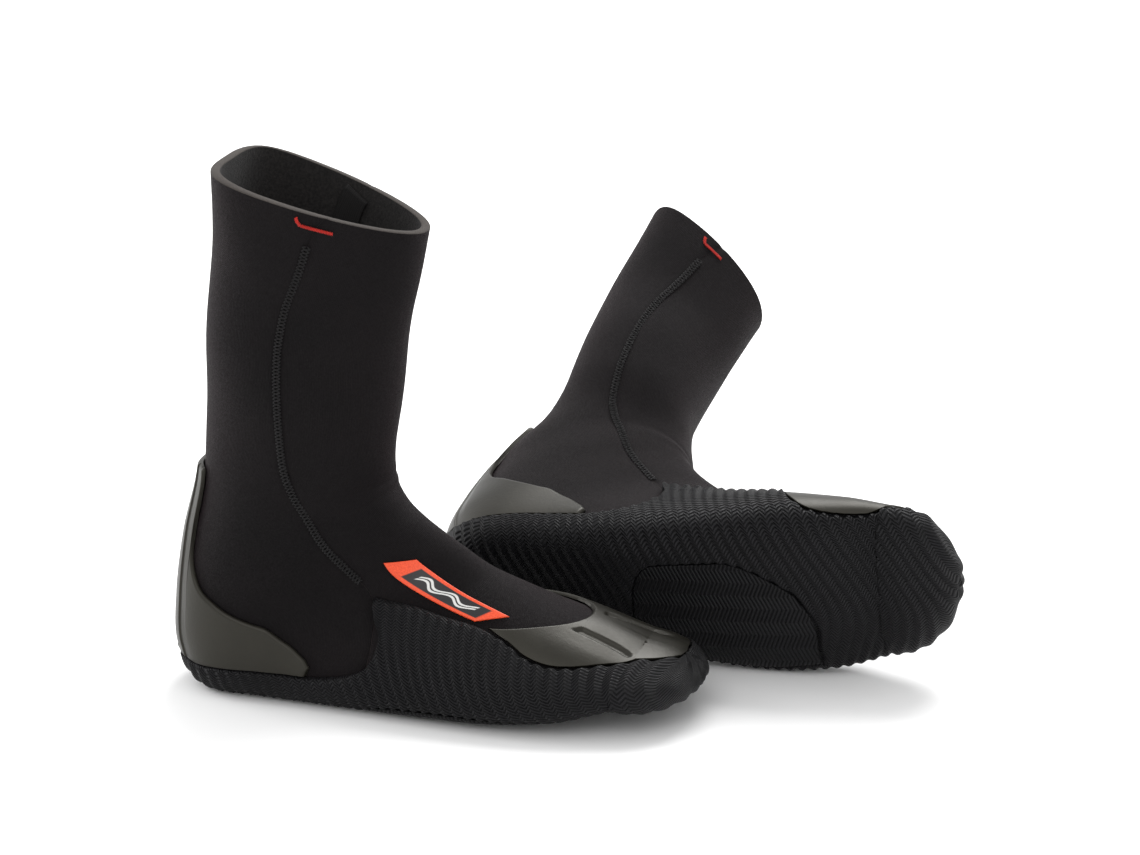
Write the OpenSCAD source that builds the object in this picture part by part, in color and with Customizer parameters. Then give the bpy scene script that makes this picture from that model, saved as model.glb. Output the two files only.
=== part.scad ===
// Neoprene boots: a pair of pull-on water sports boots with a glued rubber sole.
// The right boot stands on its sole with the origin under its ankle: toe along +X, outer side to -Y, +Z up.
// The left boot is its mirror image and lies rolled on to its outer side.
// Millimetres throughout.

/* [Boot] */
// Length on the floor, heel to toe
foot_length = 292; // [240:1:355]
// Height of the back of the rim above the floor
back_height = 294; // [230:1:360]
// How much lower the rim is at the shin than at the back
rim_drop = 33; // [0:1:60]
// Height of the ankle bend above the floor
ankle_height = 115; // [95:1:138]
// Width across the rim
rim_width = 98; // [80:1:125]
// Width across the ankle
ankle_width = 81; // [66:1:100]
// Width across the heel
heel_width = 75; // [62:1:92]
// Width across the ball of the foot
ball_width = 104; // [86:1:128]

/* [Neoprene] */
// Thickness of the neoprene sheet
sheet = 5; // [3:0.5:7]
// Room left at every butt seam, filled by glue on the real boot
seam_gap = 0.5; // [0.4:0.1:1]
// Width of the zigzag stitching along the seams
stitch_width = 6; // [3:0.5:9]
// Thickness of a line of stitching
stitch_thick = 0.7; // [0.4:0.1:1.2]
// Width of the glued tape inside the seams
tape_width = 16; // [10:1:24]
// Thickness of the tape
tape_thick = 0.6; // [0.4:0.1:1.2]
// Length of the bartack under the rim
bartack_length = 13; // [8:1:20]
// Width of the bartack
bartack_width = 2.2; // [1.5:0.1:4]

/* [Rubber] */
// Film of cement between any two glued layers
cement = 0.7; // [0.6:0.05:0.9]
// Thickness of the outsole
sole_thick = 4; // [3:0.25:6]
// Depth of the recess that takes the arch pad
pad_recess = 2; // [1:0.25:2.5]
// Thickness of the heel cup
cup_thick = 2.2; // [1.5:0.1:3.5]
// How far the back band stands out from the heel cup
band_rise = 0.9; // [0.4:0.1:1.5]
// Thickness of the toe cap
cap_thick = 2.4; // [1.5:0.1:3.5]
// Depth of the two slots in the toe cap
slot_depth = 1.2; // [0.5:0.1:1.4]

/* [Inside and label] */
// Thickness of the footbed
footbed_thick = 3; // [2:0.5:5]
// Length of the label patch along the foot
patch_length = 62; // [40:1:66]
// Width of the label patch
patch_width = 17; // [10:1:22]
// Thickness of the label patch
patch_thick = 0.9; // [0.6:0.1:1.5]

/* [Ankle] */
// Distance of the ankle bend's axis from the back of the heel
hinge_x = 71; // [60:1:85]
// Radius of the round joint line between shaft and foot
hinge_radius = 62; // [56:0.5:70]
// Room between the two sides of the joint line
hinge_gap = 1.2; // [0.8:0.1:2]

/* [Left boot, as it lies] */
// Roll on to its outer side, degrees
left_roll = 74; // [55:1:85]
// Turn of its toe away from the right boot's direction, degrees
left_turn = -0.5; // [-20:0.5:20]
// Nose-down angle, degrees
left_pitch = -2; // [-12:0.5:12]
// Its place along the right boot
left_x = 125; // [60:1:240]
// Its place across, clear of the right boot
left_y = 64; // [55:1:160]
// Forward lean of its shaft, degrees
left_lean = 0; // [0:1:20]
// Sideways lean of its shaft, degrees
left_side = 16; // [0:1:20]
// Twist of its shaft up to the rim, degrees
left_twist = -20; // [-60:1:60]
// How much its shaft is pressed flat, front to back
left_flat = 0.75; // [0.7:0.05:1]

/* [Hidden] */

RIGHT = 0;
LEFT = 1;
OUTER = -1;
INNER = 1;

// The last the boot is drawn on, in its own size; the settings above grade it up or down.
last_length = 292;
last_ankle = 115;
last_back = 294;

// How a level of the last moves with the ankle height and the back height.
function level(z) = z <= last_ankle
    ? z * ankle_height / last_ankle
    : ankle_height + (z - last_ankle) * (back_height - ankle_height) / (last_back - last_ankle);
function along(x) = x * foot_length / last_length;
// The rim's front edge follows rim_drop.
rim_front = back_height - rim_drop;

// The under-foot face of the neoprene stands on the outsole.
ground = sole_thick + cement;
// One row per station, from the rim down the shaft, round the ankle and out to the toe:
// front point x and z, back point x and z, half width, hollowing of the back half,
// narrowing of the front half, and shift of the middle towards the inner side.
last = [
    [along(142), rim_front, along(29), back_height, rim_width / 2, 0.30, 0.17, 0],
    [along(134.5), level(222), along(24.5), level(248), rim_width * 0.475, 0.05, 0.30, -1],
    [along(127.5), level(189), along(20), level(201), ankle_width * 0.545, 0.03, 0.10, 0],
    [along(122.5), level(155), along(19), level(158), ankle_width * 0.515, 0, 0, 0],
    [along(120.5), level(132), along(15.5), level(122), ankle_width / 2, 0, 0, 0],
    [along(122), level(119), along(6.5), level(87), ankle_width * 0.475, 0, 0, 0],
    [along(127.5), level(109.5), along(1.5), level(51), heel_width * 0.5, 0.08, 0, 0],
    [along(137), level(101.5), along(2.5), level(23), heel_width * 0.49, 0.20, 0, 0],
    [along(148), level(94), along(17), ground + 0.7, heel_width * 0.48, 0.35, 0, 0],
    [along(160), level(86), along(53), ground, heel_width * 0.49, 0.45, 0, 0],
    [along(174), level(77), along(101), ground, ball_width * 0.395, 0.45, 0, -1],
    [along(191), level(69), along(146), ground + 0.2, ball_width * 0.445, 0.45, 0, -1],
    [along(210.5), level(60.5), along(185), ground + 1.2, ball_width * 0.485, 0.45, 0, 0],
    [along(237), level(51), along(220), ground + 5.2, ball_width * 0.475, 0.43, 0, 1],
    [along(261), level(40.5), along(248), ground + 12.7, ball_width * 0.425, 0.38, 0, 3]
];
toe = len(last) - 1;
tip = [along(288), 6, level(23)];
// Superellipse power of the cross-sections; 2 would be plain ellipses.
roundness = 2 / 2.25;
// Power of the closing curve of the toe; 1 would be an ellipse.
toe_round = 0.9;

// Catmull-Rom curve through the rows of a table.
function row(t, i) = t[max(0, min(len(t) - 1, i))];
function curve(a, b, c, d, t) =
    (2 * b + (c - a) * t + (2 * a - 5 * b + 4 * c - d) * t * t + (3 * b - a - 3 * c + d) * t * t * t) / 2;
function read(t, u) = let (i = max(0, min(floor(u), len(t) - 2)))
    curve(row(t, i - 1), row(t, i), row(t, i + 1), row(t, i + 2), u - i);
function line(t, u) = let (i = max(0, min(floor(u), len(t) - 2)), f = u - i)
    row(t, i) * (1 - f) + row(t, i + 1) * f;

// Section of the last at station u. Past the last row it shrinks along an arc to the tip.
function section(u) = u <= toe
    ? read(last, u)
    : let (
        s = sin(90 * (u - toe)),
        c = pow(max(cos(90 * (u - toe)), 0), toe_round),
        e = last[toe],
        mx = (e[0] + e[2]) / 2 * (1 - s) + tip.x * s,
        mz = (e[1] + e[3]) / 2 * (1 - s) + tip.z * s,
        hx = (e[0] - e[2]) / 2 * c,
        hz = (e[1] - e[3]) / 2 * c
    ) [mx + hx, mz + hz, mx - hx, mz - hz, e[4] * c, e[5], e[6], e[7] * (1 - s) + tip.y * s];

function power(x) = sign(x) * pow(abs(x), roundness);
// Point of the last at station u and angle v: 0 is the front, 180 the back or the bottom,
// negative angles are the outer side.
function last_point(u, v) = let (
    r = section(u),
    c = power(cos(v)),
    s = power(sin(v)),
    f = c - r[5] * s * s
) [
    (r[0] + r[2]) / 2 + (r[0] - r[2]) / 2 * f,
    r[7] + r[4] * s * (1 - r[6] * (1 + c) / 2),
    (r[1] + r[3]) / 2 + (r[1] - r[3]) / 2 * f
];

// How the left shaft has flopped: pressed flat, leaned forward, leaned sideways, twisted.
flop_low = ankle_height - 8;
flop_high = ankle_height + 55;
function ease(t) = t * t * (3 - 2 * t);
function turn(a, b, deg) = [a * cos(deg) - b * sin(deg), a * sin(deg) + b * cos(deg)];
function flop(p) = let (
    w = ease(max(0, min(1, (p.z - flop_low) / (flop_high - flop_low)))),
    x1 = hinge_x + (p.x - hinge_x) * (1 + (left_flat - 1) * w),
    lean = turn(x1 - hinge_x, p.z - ankle_height, -left_lean * w),
    side = turn(p.y, lean[1], -left_side * w),
    tw = left_twist * max(0, min(1, side[1] / (back_height - ankle_height))),
    round = turn(lean[0], side[0], tw)
) [hinge_x + round[0], round[1], ankle_height + side[1]];

// Outer face of the neoprene, for the right boot or the left one (not yet mirrored).
function skin(b, u, v) = b == RIGHT ? last_point(u, v) : flop(last_point(u, v));
function unit(p) = p / max(norm(p), 1e-9);
// Outward normal, from small steps along the face; at the very tip it points straight out.
step_u = 0.02;
step_v = 1;
function normal(b, u, v) = u > toe + 0.97
    ? unit(tip - [(last[toe][0] + last[toe][2]) / 2, 0, (last[toe][1] + last[toe][3]) / 2])
    : unit(cross(
        skin(b, u + step_u, v) - skin(b, max(0, u - step_u), v),
        skin(b, u, v + step_v) - skin(b, u, v - step_v)));
function lift(b, u, v, d) = skin(b, u, v) + d * normal(b, u, v);
// The same, kept on or above the floor, for what the boot stands on.
function lift_flat(b, u, v, d, floor_z) = let (p = lift(b, u, v, d)) [p.x, p.y, max(p.z, floor_z)];

// The line where the front sheet meets the back sheet, from the notch in the rim down both sides of
// the shaft and along the foot, then the feather line, where the sides meet the under-foot panel.
// Each row: station and angle on that line, middle station of the front sheet's row, and of the back's.
seam = [
    [0, 64, 0, 0],
    [0.6, 80, 0.6, 0.7],
    [1.2, 90, 1.2, 1.3],
    [2.1, 91, 2.1, 2.2],
    [3, 90, 3, 3],
    [3.7, 87, 3.7, 3.6],
    [4.3, 81, 4.3, 4.1],
    [5, 73, 5, 4.6],
    [6, 63, 6, 5.1],
    [7.1, 54, 7.1, 5.6],
    [8.1, 50, 8.1, 6],
    [8.9, 56, 8.8, 6.3],
    [9.5, 72, 9.4, 6.6],
    [9.9, 92, 9.8, 6.9],
    [10.3, 112, 10.3, 7.15],
    [10.8, 122, 10.8, 7.4],
    [11.6, 122, 11.6, 9.2],
    [12.4, 121, 12.4, 11],
    [13.2, 121, 13.2, 12.8],
    [14, 122, 14, 14],
    [14.55, 122, 14.55, 14.55],
    [15, 122, 15, 15]
];
feather = 15;
seam_end = len(seam) - 1;

// The edge of the outsole, from the middle of the heel round its low strip, up the back of the side
// flap, forward along the flap and round the toe. Each row: station and angle, middle of that row.
sole_edge = [
    [6.95, 180, 6.95],
    [7, 168, 6.98],
    [7.2, 150, 7.1],
    [7.45, 136, 7.35],
    [7.85, 116, 7.8],
    [8.3, 105, 8.35],
    [8.85, 101, 9],
    [9.4, 98, 9.6],
    [9.8, 88, 10],
    [9.68, 74, 10.2],
    [9.4, 64, 10.35],
    [8.9, 56, 10.5],
    [8.55, 51, 10.65],
    [8.9, 49, 10.8],
    [9.5, 46, 11],
    [10.1, 45, 11.2],
    [10.7, 43.5, 11.45],
    [11.2, 44, 11.7],
    [11.7, 47, 12],
    [12.15, 53, 12.35],
    [12.6, 55.5, 12.7],
    [13.05, 52, 13.1],
    [13.5, 44, 13.5],
    [13.8, 38, 13.8],
    [14.2, 24, 14.2],
    [14.42, 9, 14.42],
    [14.47, 0, 14.47],
    [14.68, 0, 14.68],
    [14.86, 0, 14.86],
    [15, 0, 15]
];
sole_closes = 26;
// On the inner side the edge dips low round the big toe, so that the toe cap shows beside the sole. These are
// degrees to add to the angle, row by row from row dip_first on.
dip_first = 17;
inner_dip = [2, 13, 29, 42.5, 52, 60, 60, 50, 23];
inner_edge = [for (i = [0:len(sole_edge) - 1]) let (k = i - dip_first)
    sole_edge[i] + [0, k >= 0 && k < len(inner_dip) ? inner_dip[k] : 0, 0]];

// Top edge of the heel cup and the row of the sole edge below it, from the middle of the back to the
// front corner.
cup_edge = [
    [3.85, 180, 0],
    [3.85, 172, 1],
    [3.85, 166, 1.75],
    [3.85, 161, 2.4],
    [3.85, 160, 2.6],
    [3.85, 158, 2.7],
    [3.87, 152, 2.85],
    [3.95, 148, 3],
    [4.6, 145, 3.1],
    [5.3, 142, 3.25],
    [5.9, 129, 3.6],
    [6.4, 113, 4.1],
    [7, 98, 4.8],
    [7.6, 88, 5.3],
    [8.3, 85, 5.9],
    [8.9, 89, 6.4],
    [9.15, 92.5, 6.7]
];
// Columns of that table inside the raised band.
band_columns = 4;

// Rear edge of the toe cap and the row of the sole edge in front of it, from the middle outwards.
cap_edge = [
    [12.75, 0, 26],
    [12.74, 3.5, 25.4],
    [12.7, 8, 24.8],
    [12.62, 13, 24.2],
    [12.5, 18, 23.5],
    [12.33, 23, 22.9],
    [12.12, 27.5, 22.2],
    [11.9, 31.5, 21.3],
    [11.65, 35.5, 20.2],
    [11.4, 39, 19],
    [11.2, 41.3, 18.1],
    [11.08, 42, 17.3]
];

// Edge of the footbed, station and angle, and the middle of that row.
footbed_edge = [
    [8.3, 156, 8],
    [8.7, 140, 8.35],
    [9.2, 133, 9],
    [10, 130, 10],
    [11, 129, 11],
    [12, 129, 12],
    [13, 130, 13],
    [13.7, 133, 13.7],
    [14.25, 142, 14.25]
];

// Rough length of one station and of one degree on the face, to turn gaps into steps along the tables.
station_length = 25;
degree_length = 0.7;
// A point of an edge table, moved across the edge: positive towards the front sheet.
function edge_step(t, s, d) = let (
    a = read(t, max(0, s - 0.05)),
    b = read(t, min(len(t) - 1, s + 0.05)),
    du = (b[0] - a[0]) * station_length,
    dv = (b[1] - a[1]) * degree_length,
    n = max(norm([du, dv]), 1e-6),
    e = read(t, s)
) [e[0] + d * dv / n / station_length, e[1] - d * du / n / degree_length];

// A point on a row of the front sheet: t runs from -1 (outer seam) through 0 (middle) to 1 (inner).
function front_uv(s, t) = let (e = edge_step(seam, s, seam_gap / 2), m = read(seam, s)[2])
    [min(m + (e[0] - m) * abs(t), 15), e[1] * t];
// A point on a row that runs round the back or the bottom, from -1 (inner) to 1 (outer).
function back_row(e, m, t, fan) = [m + (e[0] - m) * pow(abs(t), fan), 180 + t * (180 - e[1])];
back_fan = 2.2;
sole_fan = 6;
function back_uv(s, t) = back_row(edge_step(seam, s, -seam_gap / 2), read(seam, s)[3], t, back_fan);
function sole_uv(s, t) = s >= sole_closes
    ? [line(sole_edge, s)[0], 180 + 180 * t]
    : back_row(read(t < 0 ? inner_edge : sole_edge, s), read(sole_edge, s)[2], t, sole_fan);
function footbed_uv(s, t) = back_row(read(footbed_edge, s), read(footbed_edge, s)[2], t, back_fan);
// Which sheet a panel belongs to.
FRONT = 0;
BACK = 1;
function sheet_uv(f, s, t) = f == FRONT ? front_uv(s, t) : back_uv(s, t);
function sheet_point(b, f, s, t, d) = let (q = sheet_uv(f, s, t)) lift(b, q[0], q[1], d);

// The round joint line at the ankle: where a column of a sheet crosses the cylinder about the bend.
hinge_z = ankle_height;
cut_high = 1.5;
cut_low = 4.4;
function from_hinge(p) = norm([p.x - hinge_x, p.z - hinge_z]);
function cut_row(b, f, t, d, r, lo = cut_high, hi = cut_low, n = 14) = n == 0
    ? (lo + hi) / 2
    : let (m = (lo + hi) / 2)
      from_hinge(sheet_point(b, f, m, t, d)) > r
        ? cut_row(b, f, t, d, r, m, hi, n - 1)
        : cut_row(b, f, t, d, r, lo, m, n - 1);

// Evenly spaced numbers.
function steps(a, b, n) = [for (i = [0 : n]) a + (b - a) * i / n];

// A closed solid between an outer grid of points and an inner one. From row 'weld' on, the first and
// last columns are the same points; with 'point' the last row is a single point.
module slab(outer, inner, weld = 1e6, point = false) {
    m = len(outer);
    n = len(outer[0]);
    size = m * n;
    function at(i, j) = point && i == m - 1 ? i * n : (i >= weld && j == n - 1 ? i * n : i * n + j);
    quads = concat(
        [for (i = [0 : m - 2]) for (j = [0 : n - 2]) [at(i, j), at(i, j + 1), at(i + 1, j + 1), at(i + 1, j)]],
        [for (i = [0 : m - 2]) for (j = [0 : n - 2])
            [size + at(i + 1, j), size + at(i + 1, j + 1), size + at(i, j + 1), size + at(i, j)]],
        [for (j = [0 : n - 2]) [at(0, j + 1), at(0, j), size + at(0, j), size + at(0, j + 1)]],
        point ? [] : [for (j = [0 : n - 2])
            [at(m - 1, j), at(m - 1, j + 1), size + at(m - 1, j + 1), size + at(m - 1, j)]],
        [for (i = [0 : min(m - 2, weld - 1)]) [at(i, 0), at(i + 1, 0), size + at(i + 1, 0), size + at(i, 0)]],
        [for (i = [0 : min(m - 2, weld - 1)])
            [at(i + 1, n - 1), at(i, n - 1), size + at(i, n - 1), size + at(i + 1, n - 1)]]
    );
    triangles = [for (q = quads) for (f = [[q[0], q[1], q[2]], [q[0], q[2], q[3]]])
        if (f[0] != f[1] && f[1] != f[2] && f[0] != f[2]) f];
    polyhedron(points = [for (g = [outer, inner]) for (r = g) for (p = r) p], faces = triangles, convexity = 8);
}

// Shaft panels run from the rim to the joint line. Foot panels run from the joint line down the rows that
// the two sheets share, so their edges match.
shaft_rows = 10;
shaft_columns = 12;
heel_columns = 18;
vamp_columns = 12;
bottom_columns = 8;
// The under-foot panel lies a little above the sides' edge, clear of the sole's hollow.
bottom_inset = 0.5;
side_levels = steps(4.9, feather, 15);
toe_levels = [15.8, 16.6, 17.4, 18.2, 19, 19.4, 19.8, 20.2, 20.6, 21];
feather_gap = 0.05;
heel_levels = [for (s = side_levels) s == feather ? feather - feather_gap : s];
// The under-foot panel has a few more rows round the heel, and stops short of the tip.
bottom_levels = concat([feather + feather_gap, 15.2, 15.4, 15.6], [for (s = toe_levels) if (s < seam_end - 0.5) s]);
function shaft_grid(b, f, d) = let (columns = steps(-1, 1, shaft_columns), r = hinge_radius + hinge_gap / 2,
    cut = [for (t = columns) cut_row(b, f, t, d, r)])
    [for (k = [0 : shaft_rows]) [for (j = [0 : shaft_columns])
        sheet_point(b, f, cut[j] * k / shaft_rows, columns[j], d)]];
function foot_grid(b, f, d, columns, levels) = let (r = hinge_radius - hinge_gap / 2,
    cut = [for (t = columns) cut_row(b, f, t, d, r)])
    concat(
        [for (k = [0, 0.5]) [for (j = [0 : len(columns) - 1])
            sheet_point(b, f, cut[j] * (1 - k) + levels[0] * k, columns[j], d)]],
        [for (s = levels) [for (t = columns) sheet_point(b, f, s, t, d)]]);
module shaft_panel(b, f) slab(shaft_grid(b, f, 0), shaft_grid(b, f, -sheet));
module foot_panel(b, f, columns, levels, point)
    slab(foot_grid(b, f, 0, columns, levels), foot_grid(b, f, -sheet, columns, levels), point = point);
module shin_panel(b) shaft_panel(b, FRONT);
module calf_panel(b) shaft_panel(b, BACK);
module vamp_panel(b) foot_panel(b, FRONT, steps(-1, 1, vamp_columns), concat(side_levels, toe_levels), true);
module heel_panel(b) foot_panel(b, BACK, steps(-1, 1, heel_columns), heel_levels, false);
module bottom_panel(b) {
    columns = steps(-1, 1, bottom_columns);
    slab([for (s = bottom_levels) [for (t = columns) sheet_point(b, BACK, s, t, -bottom_inset)]],
        [for (s = bottom_levels) [for (t = columns) sheet_point(b, BACK, s, t, -sheet)]]);
}

// Rubber laid over the neoprene. A grid of stations and angles becomes a sheet between two heights.
module laid(b, uv, low, high, floor_z = -1e6, weld = 1e6, point = false) {
    inner = [for (r = uv) [for (q = r) lift(b, q[0], q[1], low)]];
    outer = [for (r = uv) [for (q = r) lift_flat(b, q[0], q[1], high, floor_z)]];
    slab(outer, inner, weld, point);
}

sole_top = cement + sole_thick;
pad_bottom = sole_top - pad_recess;
pad_first = 9.2;
pad_last = 20.4;
// The pad lies on the outer part of the arch, between these two columns.
pad_in = -0.2;
pad_out = 0.5;
pad_edge = 0.012;
sole_rows = concat([0.5, 1, 1.5, 2, 2.5, 3, 3.5, 4, 5, 6, 7, 8, 9], [pad_first - 3 * pad_edge, pad_first + 3 * pad_edge],
    [10, 11, 12, 13, 14, 15, 16, 17, 18, 19, 20], [pad_last - 3 * pad_edge, pad_last + 3 * pad_edge],
    [21, 22, 23, 24, 25, 26, 27, 28, 29]);
sole_columns = concat(steps(-1, -0.3, 6), [pad_in - pad_edge, pad_in + pad_edge], steps(-0.1, 0.4, 4),
    [pad_out - pad_edge, pad_out + pad_edge], steps(0.6, 1, 4));
function in_pad(s, t) = s > pad_first && s < pad_last && t > pad_in && t < pad_out;
// Beside the big toe the last curves so tightly that flat facets would cut into the vamp, so the sole's inner
// face stands off further there.
toe_relief = 1.5;
relief_first = 18;
relief_last = 28;
function in_relief(s, t) = s > relief_first && s < relief_last && (t < 0 || s >= sole_closes);
module outsole(b) {
    inner = [for (s = sole_rows) [for (t = sole_columns) let (q = sole_uv(s, t))
        lift(b, q[0], q[1], cement + (in_relief(s, t) ? toe_relief : 0))]];
    outer = [for (s = sole_rows) [for (t = sole_columns) let (q = sole_uv(s, t))
        in_pad(s, t) ? lift_flat(b, q[0], q[1], pad_bottom, pad_recess) : lift_flat(b, q[0], q[1], sole_top, 0)]];
    slab(outer, inner, search(sole_closes, sole_rows)[0], true);
}

// The pad in the recess stands just clear of the floor.
pad_clear = 0.3;
pad_rows = 11;
pad_columns = 6;
module arch_pad(b) {
    uv = [for (s = steps(pad_first + 8 * pad_edge, pad_last - 8 * pad_edge, pad_rows))
        [for (t = steps(pad_in + 2.5 * pad_edge, pad_out - 2.5 * pad_edge, pad_columns)) sole_uv(s, t)]];
    inner = [for (r = uv) [for (q = r) lift_flat(b, q[0], q[1], pad_bottom + cement, pad_recess - cement)]];
    outer = [for (r = uv) [for (q = r) lift_flat(b, q[0], q[1], sole_top - pad_clear, pad_clear)]];
    slab(outer, inner);
}

cup_rows = 7;
// Columns run from the inner corner round the back to the outer corner.
function mirrored(n) = concat([for (i = [n - 1 : -1 : 1]) -i], [for (i = [0 : n - 1]) i]);
function cup_uv(i, k) = let (
    c = cup_edge[abs(i)],
    e = edge_step(sole_edge, c[2], cement),
    low = abs(i) == 0 ? [e[0] - cement / station_length, 180] : e,
    f = k / cup_rows,
    v = c[1] * (1 - f) + low[1] * f
) [c[0] * (1 - f) + low[0] * f, i > 0 ? 360 - v : v];
module heel_cup(b) {
    columns = mirrored(len(cup_edge));
    inner = [for (k = [0 : cup_rows]) [for (i = columns) let (q = cup_uv(i, k)) lift(b, q[0], q[1], cement)]];
    outer = [for (k = [0 : cup_rows]) [for (i = columns) let (q = cup_uv(i, k))
        lift(b, q[0], q[1], cement + cup_thick + (abs(i) <= band_columns ? band_rise : 0))]];
    slab(outer, inner);
}

cap_rows = 9;
// The two slots: middle column and half width, on the outer side and just inside the middle.
outer_slot = -4.3;
inner_slot = 1.8;
slot_half = 0.32;
slot_wall = 0.06;
cap_columns = concat([-11, -10, -9, -8, -7, -6, -5],
    [outer_slot - slot_half - slot_wall, outer_slot - slot_half, outer_slot + slot_half, outer_slot + slot_half + slot_wall],
    [-3, -2, -1, 0, 0.8],
    [inner_slot - slot_half - slot_wall, inner_slot - slot_half, inner_slot + slot_half, inner_slot + slot_half + slot_wall],
    [2.8, 4, 5, 6, 7, 8, 9, 10, 11]);
function in_slot(t, k) = k > 0 && k < cap_rows - 1
    && min(abs(t - outer_slot), abs(t - inner_slot)) < slot_half + slot_wall / 2;
function cap_uv(t, k) = let (
    c = line(cap_edge, abs(t)),
    e = edge_step(t > 0 ? inner_edge : sole_edge, min(c[2], sole_closes - 0.1), cement),
    f = k / cap_rows,
    front = abs(t) < 0.3
        ? [sole_edge[sole_closes][0] - cement / station_length, 0]
        : e
) [c[0] * (1 - f) + front[0] * f, sign(t) * (c[1] * (1 - f) + front[1] * f)];
module toe_cap(b) {
    inner = [for (k = [0 : cap_rows]) [for (t = cap_columns) let (q = cap_uv(t, k)) lift(b, q[0], q[1], cement)]];
    outer = [for (k = [0 : cap_rows]) [for (t = cap_columns) let (q = cap_uv(t, k))
        lift(b, q[0], q[1], cement + cap_thick - (in_slot(t, k) ? slot_depth : 0))]];
    slab(outer, inner);
}

// Label patch on the outer side of the vamp, slanting down towards the toe.
patch_uv = [9.5, -34];
patch_along = [3.1, -2.5] / 62;
patch_across = [0.6, 11.7] / 17;
module label_patch(b) laid(b, [for (x = steps(-0.5, 0.5, 8))
    [for (y = steps(-0.5, 0.5, 3)) patch_uv + x * patch_length * patch_along + y * patch_width * patch_across]],
    cement, cement + patch_thick);

// The footbed lies loose on the inner face of the under-foot panel.
footbed_slack = 1;
module footbed(b) {
    uv = [for (s = steps(0, len(footbed_edge) - 1, 12)) [for (t = steps(-1, 1, 8)) footbed_uv(s, t)]];
    laid(b, uv, -sheet - footbed_slack - footbed_thick, -sheet - footbed_slack);
}

// A ribbon along a path of stations and angles, between two heights above the face.
function step_aside(b, p, dir, d) = let (
    mu = norm(skin(b, p[0] + 0.05, p[1]) - skin(b, max(0, p[0] - 0.05), p[1])) / (p[0] < 0.05 ? 0.05 + p[0] : 0.1),
    mv = norm(skin(b, p[0], p[1] + 1) - skin(b, p[0], p[1] - 1)) / 2,
    w = [-dir[1] * mv, dir[0] * mu],
    n = max(norm(w), 1e-9)
) [max(0, p[0] + d * w[0] / n / mu), p[1] + d * w[1] / n / mv];
module ribbon(b, path, width, low, high, columns = 2) {
    n = len(path) - 1;
    uv = [for (i = [0 : n]) let (dir = path[min(n, i + 1)] - path[max(0, i - 1)])
        [for (c = steps(-width / 2, width / 2, columns)) step_aside(b, path[i], dir, c)]];
    laid(b, uv, low, high);
}
// The seam line on one side: -1 outer, 1 inner.
function seam_uv(s, side) = let (e = read(seam, s)) [e[0], e[1] * side];
function seam_path(side, a, z, n) = [for (s = steps(a, z, n)) seam_uv(s, side)];
// Where the seam crosses the joint line, kept further off it than the panels are.
ribbon_clear = 2.5;
function seam_cut(b, side, r) = cut_row(b, FRONT, side, 0, r);
stitch_low = cement;
stitch_high = cement + stitch_thick;
// The tape is flat across and the wall is curved, so it stands a little further off.
tape_slack = 1;
tape_low = -sheet - tape_slack - tape_thick;
tape_high = -sheet - tape_slack;
tape_start = 0.4;
tape_end = 14;
bartack_row = 0.45;
// The stitching ends under the bartack above and at the flap's corner below.
stitch_start = 0.8;
stitch_end = 9.75;
module shaft_seam(b, side) ribbon(b, seam_path(side, stitch_start, seam_cut(b, side, hinge_radius + ribbon_clear), 12),
    stitch_width, stitch_low, stitch_high);
module foot_seam(b, side) ribbon(b, seam_path(side, seam_cut(b, side, hinge_radius - ribbon_clear), stitch_end, 12),
    stitch_width, stitch_low, stitch_high);
module shaft_tape(b, side) ribbon(b, seam_path(side, tape_start, seam_cut(b, side, hinge_radius + 2 * ribbon_clear), 10),
    tape_width, tape_low, tape_high, 4);
module foot_tape(b, side) ribbon(b, seam_path(side, seam_cut(b, side, hinge_radius - 2 * ribbon_clear), tape_end, 14),
    tape_width, tape_low, tape_high, 4);
// The bartack crosses the seam below the notch, with a short tick up at its back end.
tick = 0.12;
tick_bend = 0.03;
rim_degree = 0.8;
module bartack(b, side) {
    half = bartack_length / 2 / rim_degree;
    u = read(seam, bartack_row)[0];
    v = read(seam, bartack_row)[1];
    ribbon(b, [[tick, side * (v + half)], [u - tick_bend, side * (v + half)], [u, side * (v + half - 2)],
        [u, side * (v + half / 2)], [u, side * v], [u, side * (v - half)]],
        bartack_width, cement, cement + stitch_thick, 1);
}

// The origin lies on the floor under the right boot's ankle bend.
module standing() translate([-hinge_x, 0, 0]) children();

// The left boot: the same boot mirrored, rolled on to its side and set beside the right one.
// How high a point of it stands once rolled, and what that leaves to lower it to the floor.
function lying_height(p) = -p.x * sin(left_pitch)
    + (p.y * sin(left_roll) + p.z * cos(left_roll)) * cos(left_pitch);
left_low = min([for (s = sole_rows) if (s > 11 && s < 25) for (t = sole_columns) if (t > 0)
    let (q = sole_uv(s, t)) lying_height(lift_flat(LEFT, q[0], q[1], sole_top, 0))]);
left_drop = -left_low;
module lying() translate([left_x - hinge_x, left_y, left_drop]) rotate([0, 0, left_turn]) rotate([0, left_pitch, 0])
    rotate([-left_roll, 0, 0]) mirror([0, 1, 0]) children();

neoprene = [0.07, 0.06, 0.065];
lining = [0.16, 0.15, 0.15];
rubber = [0.05, 0.05, 0.05];
smooth_rubber = [0.16, 0.16, 0.14];
thread = [0.02, 0.02, 0.02];
red_thread = [0.75, 0.08, 0.05];
patch_colour = [0.85, 0.18, 0.08];

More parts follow.
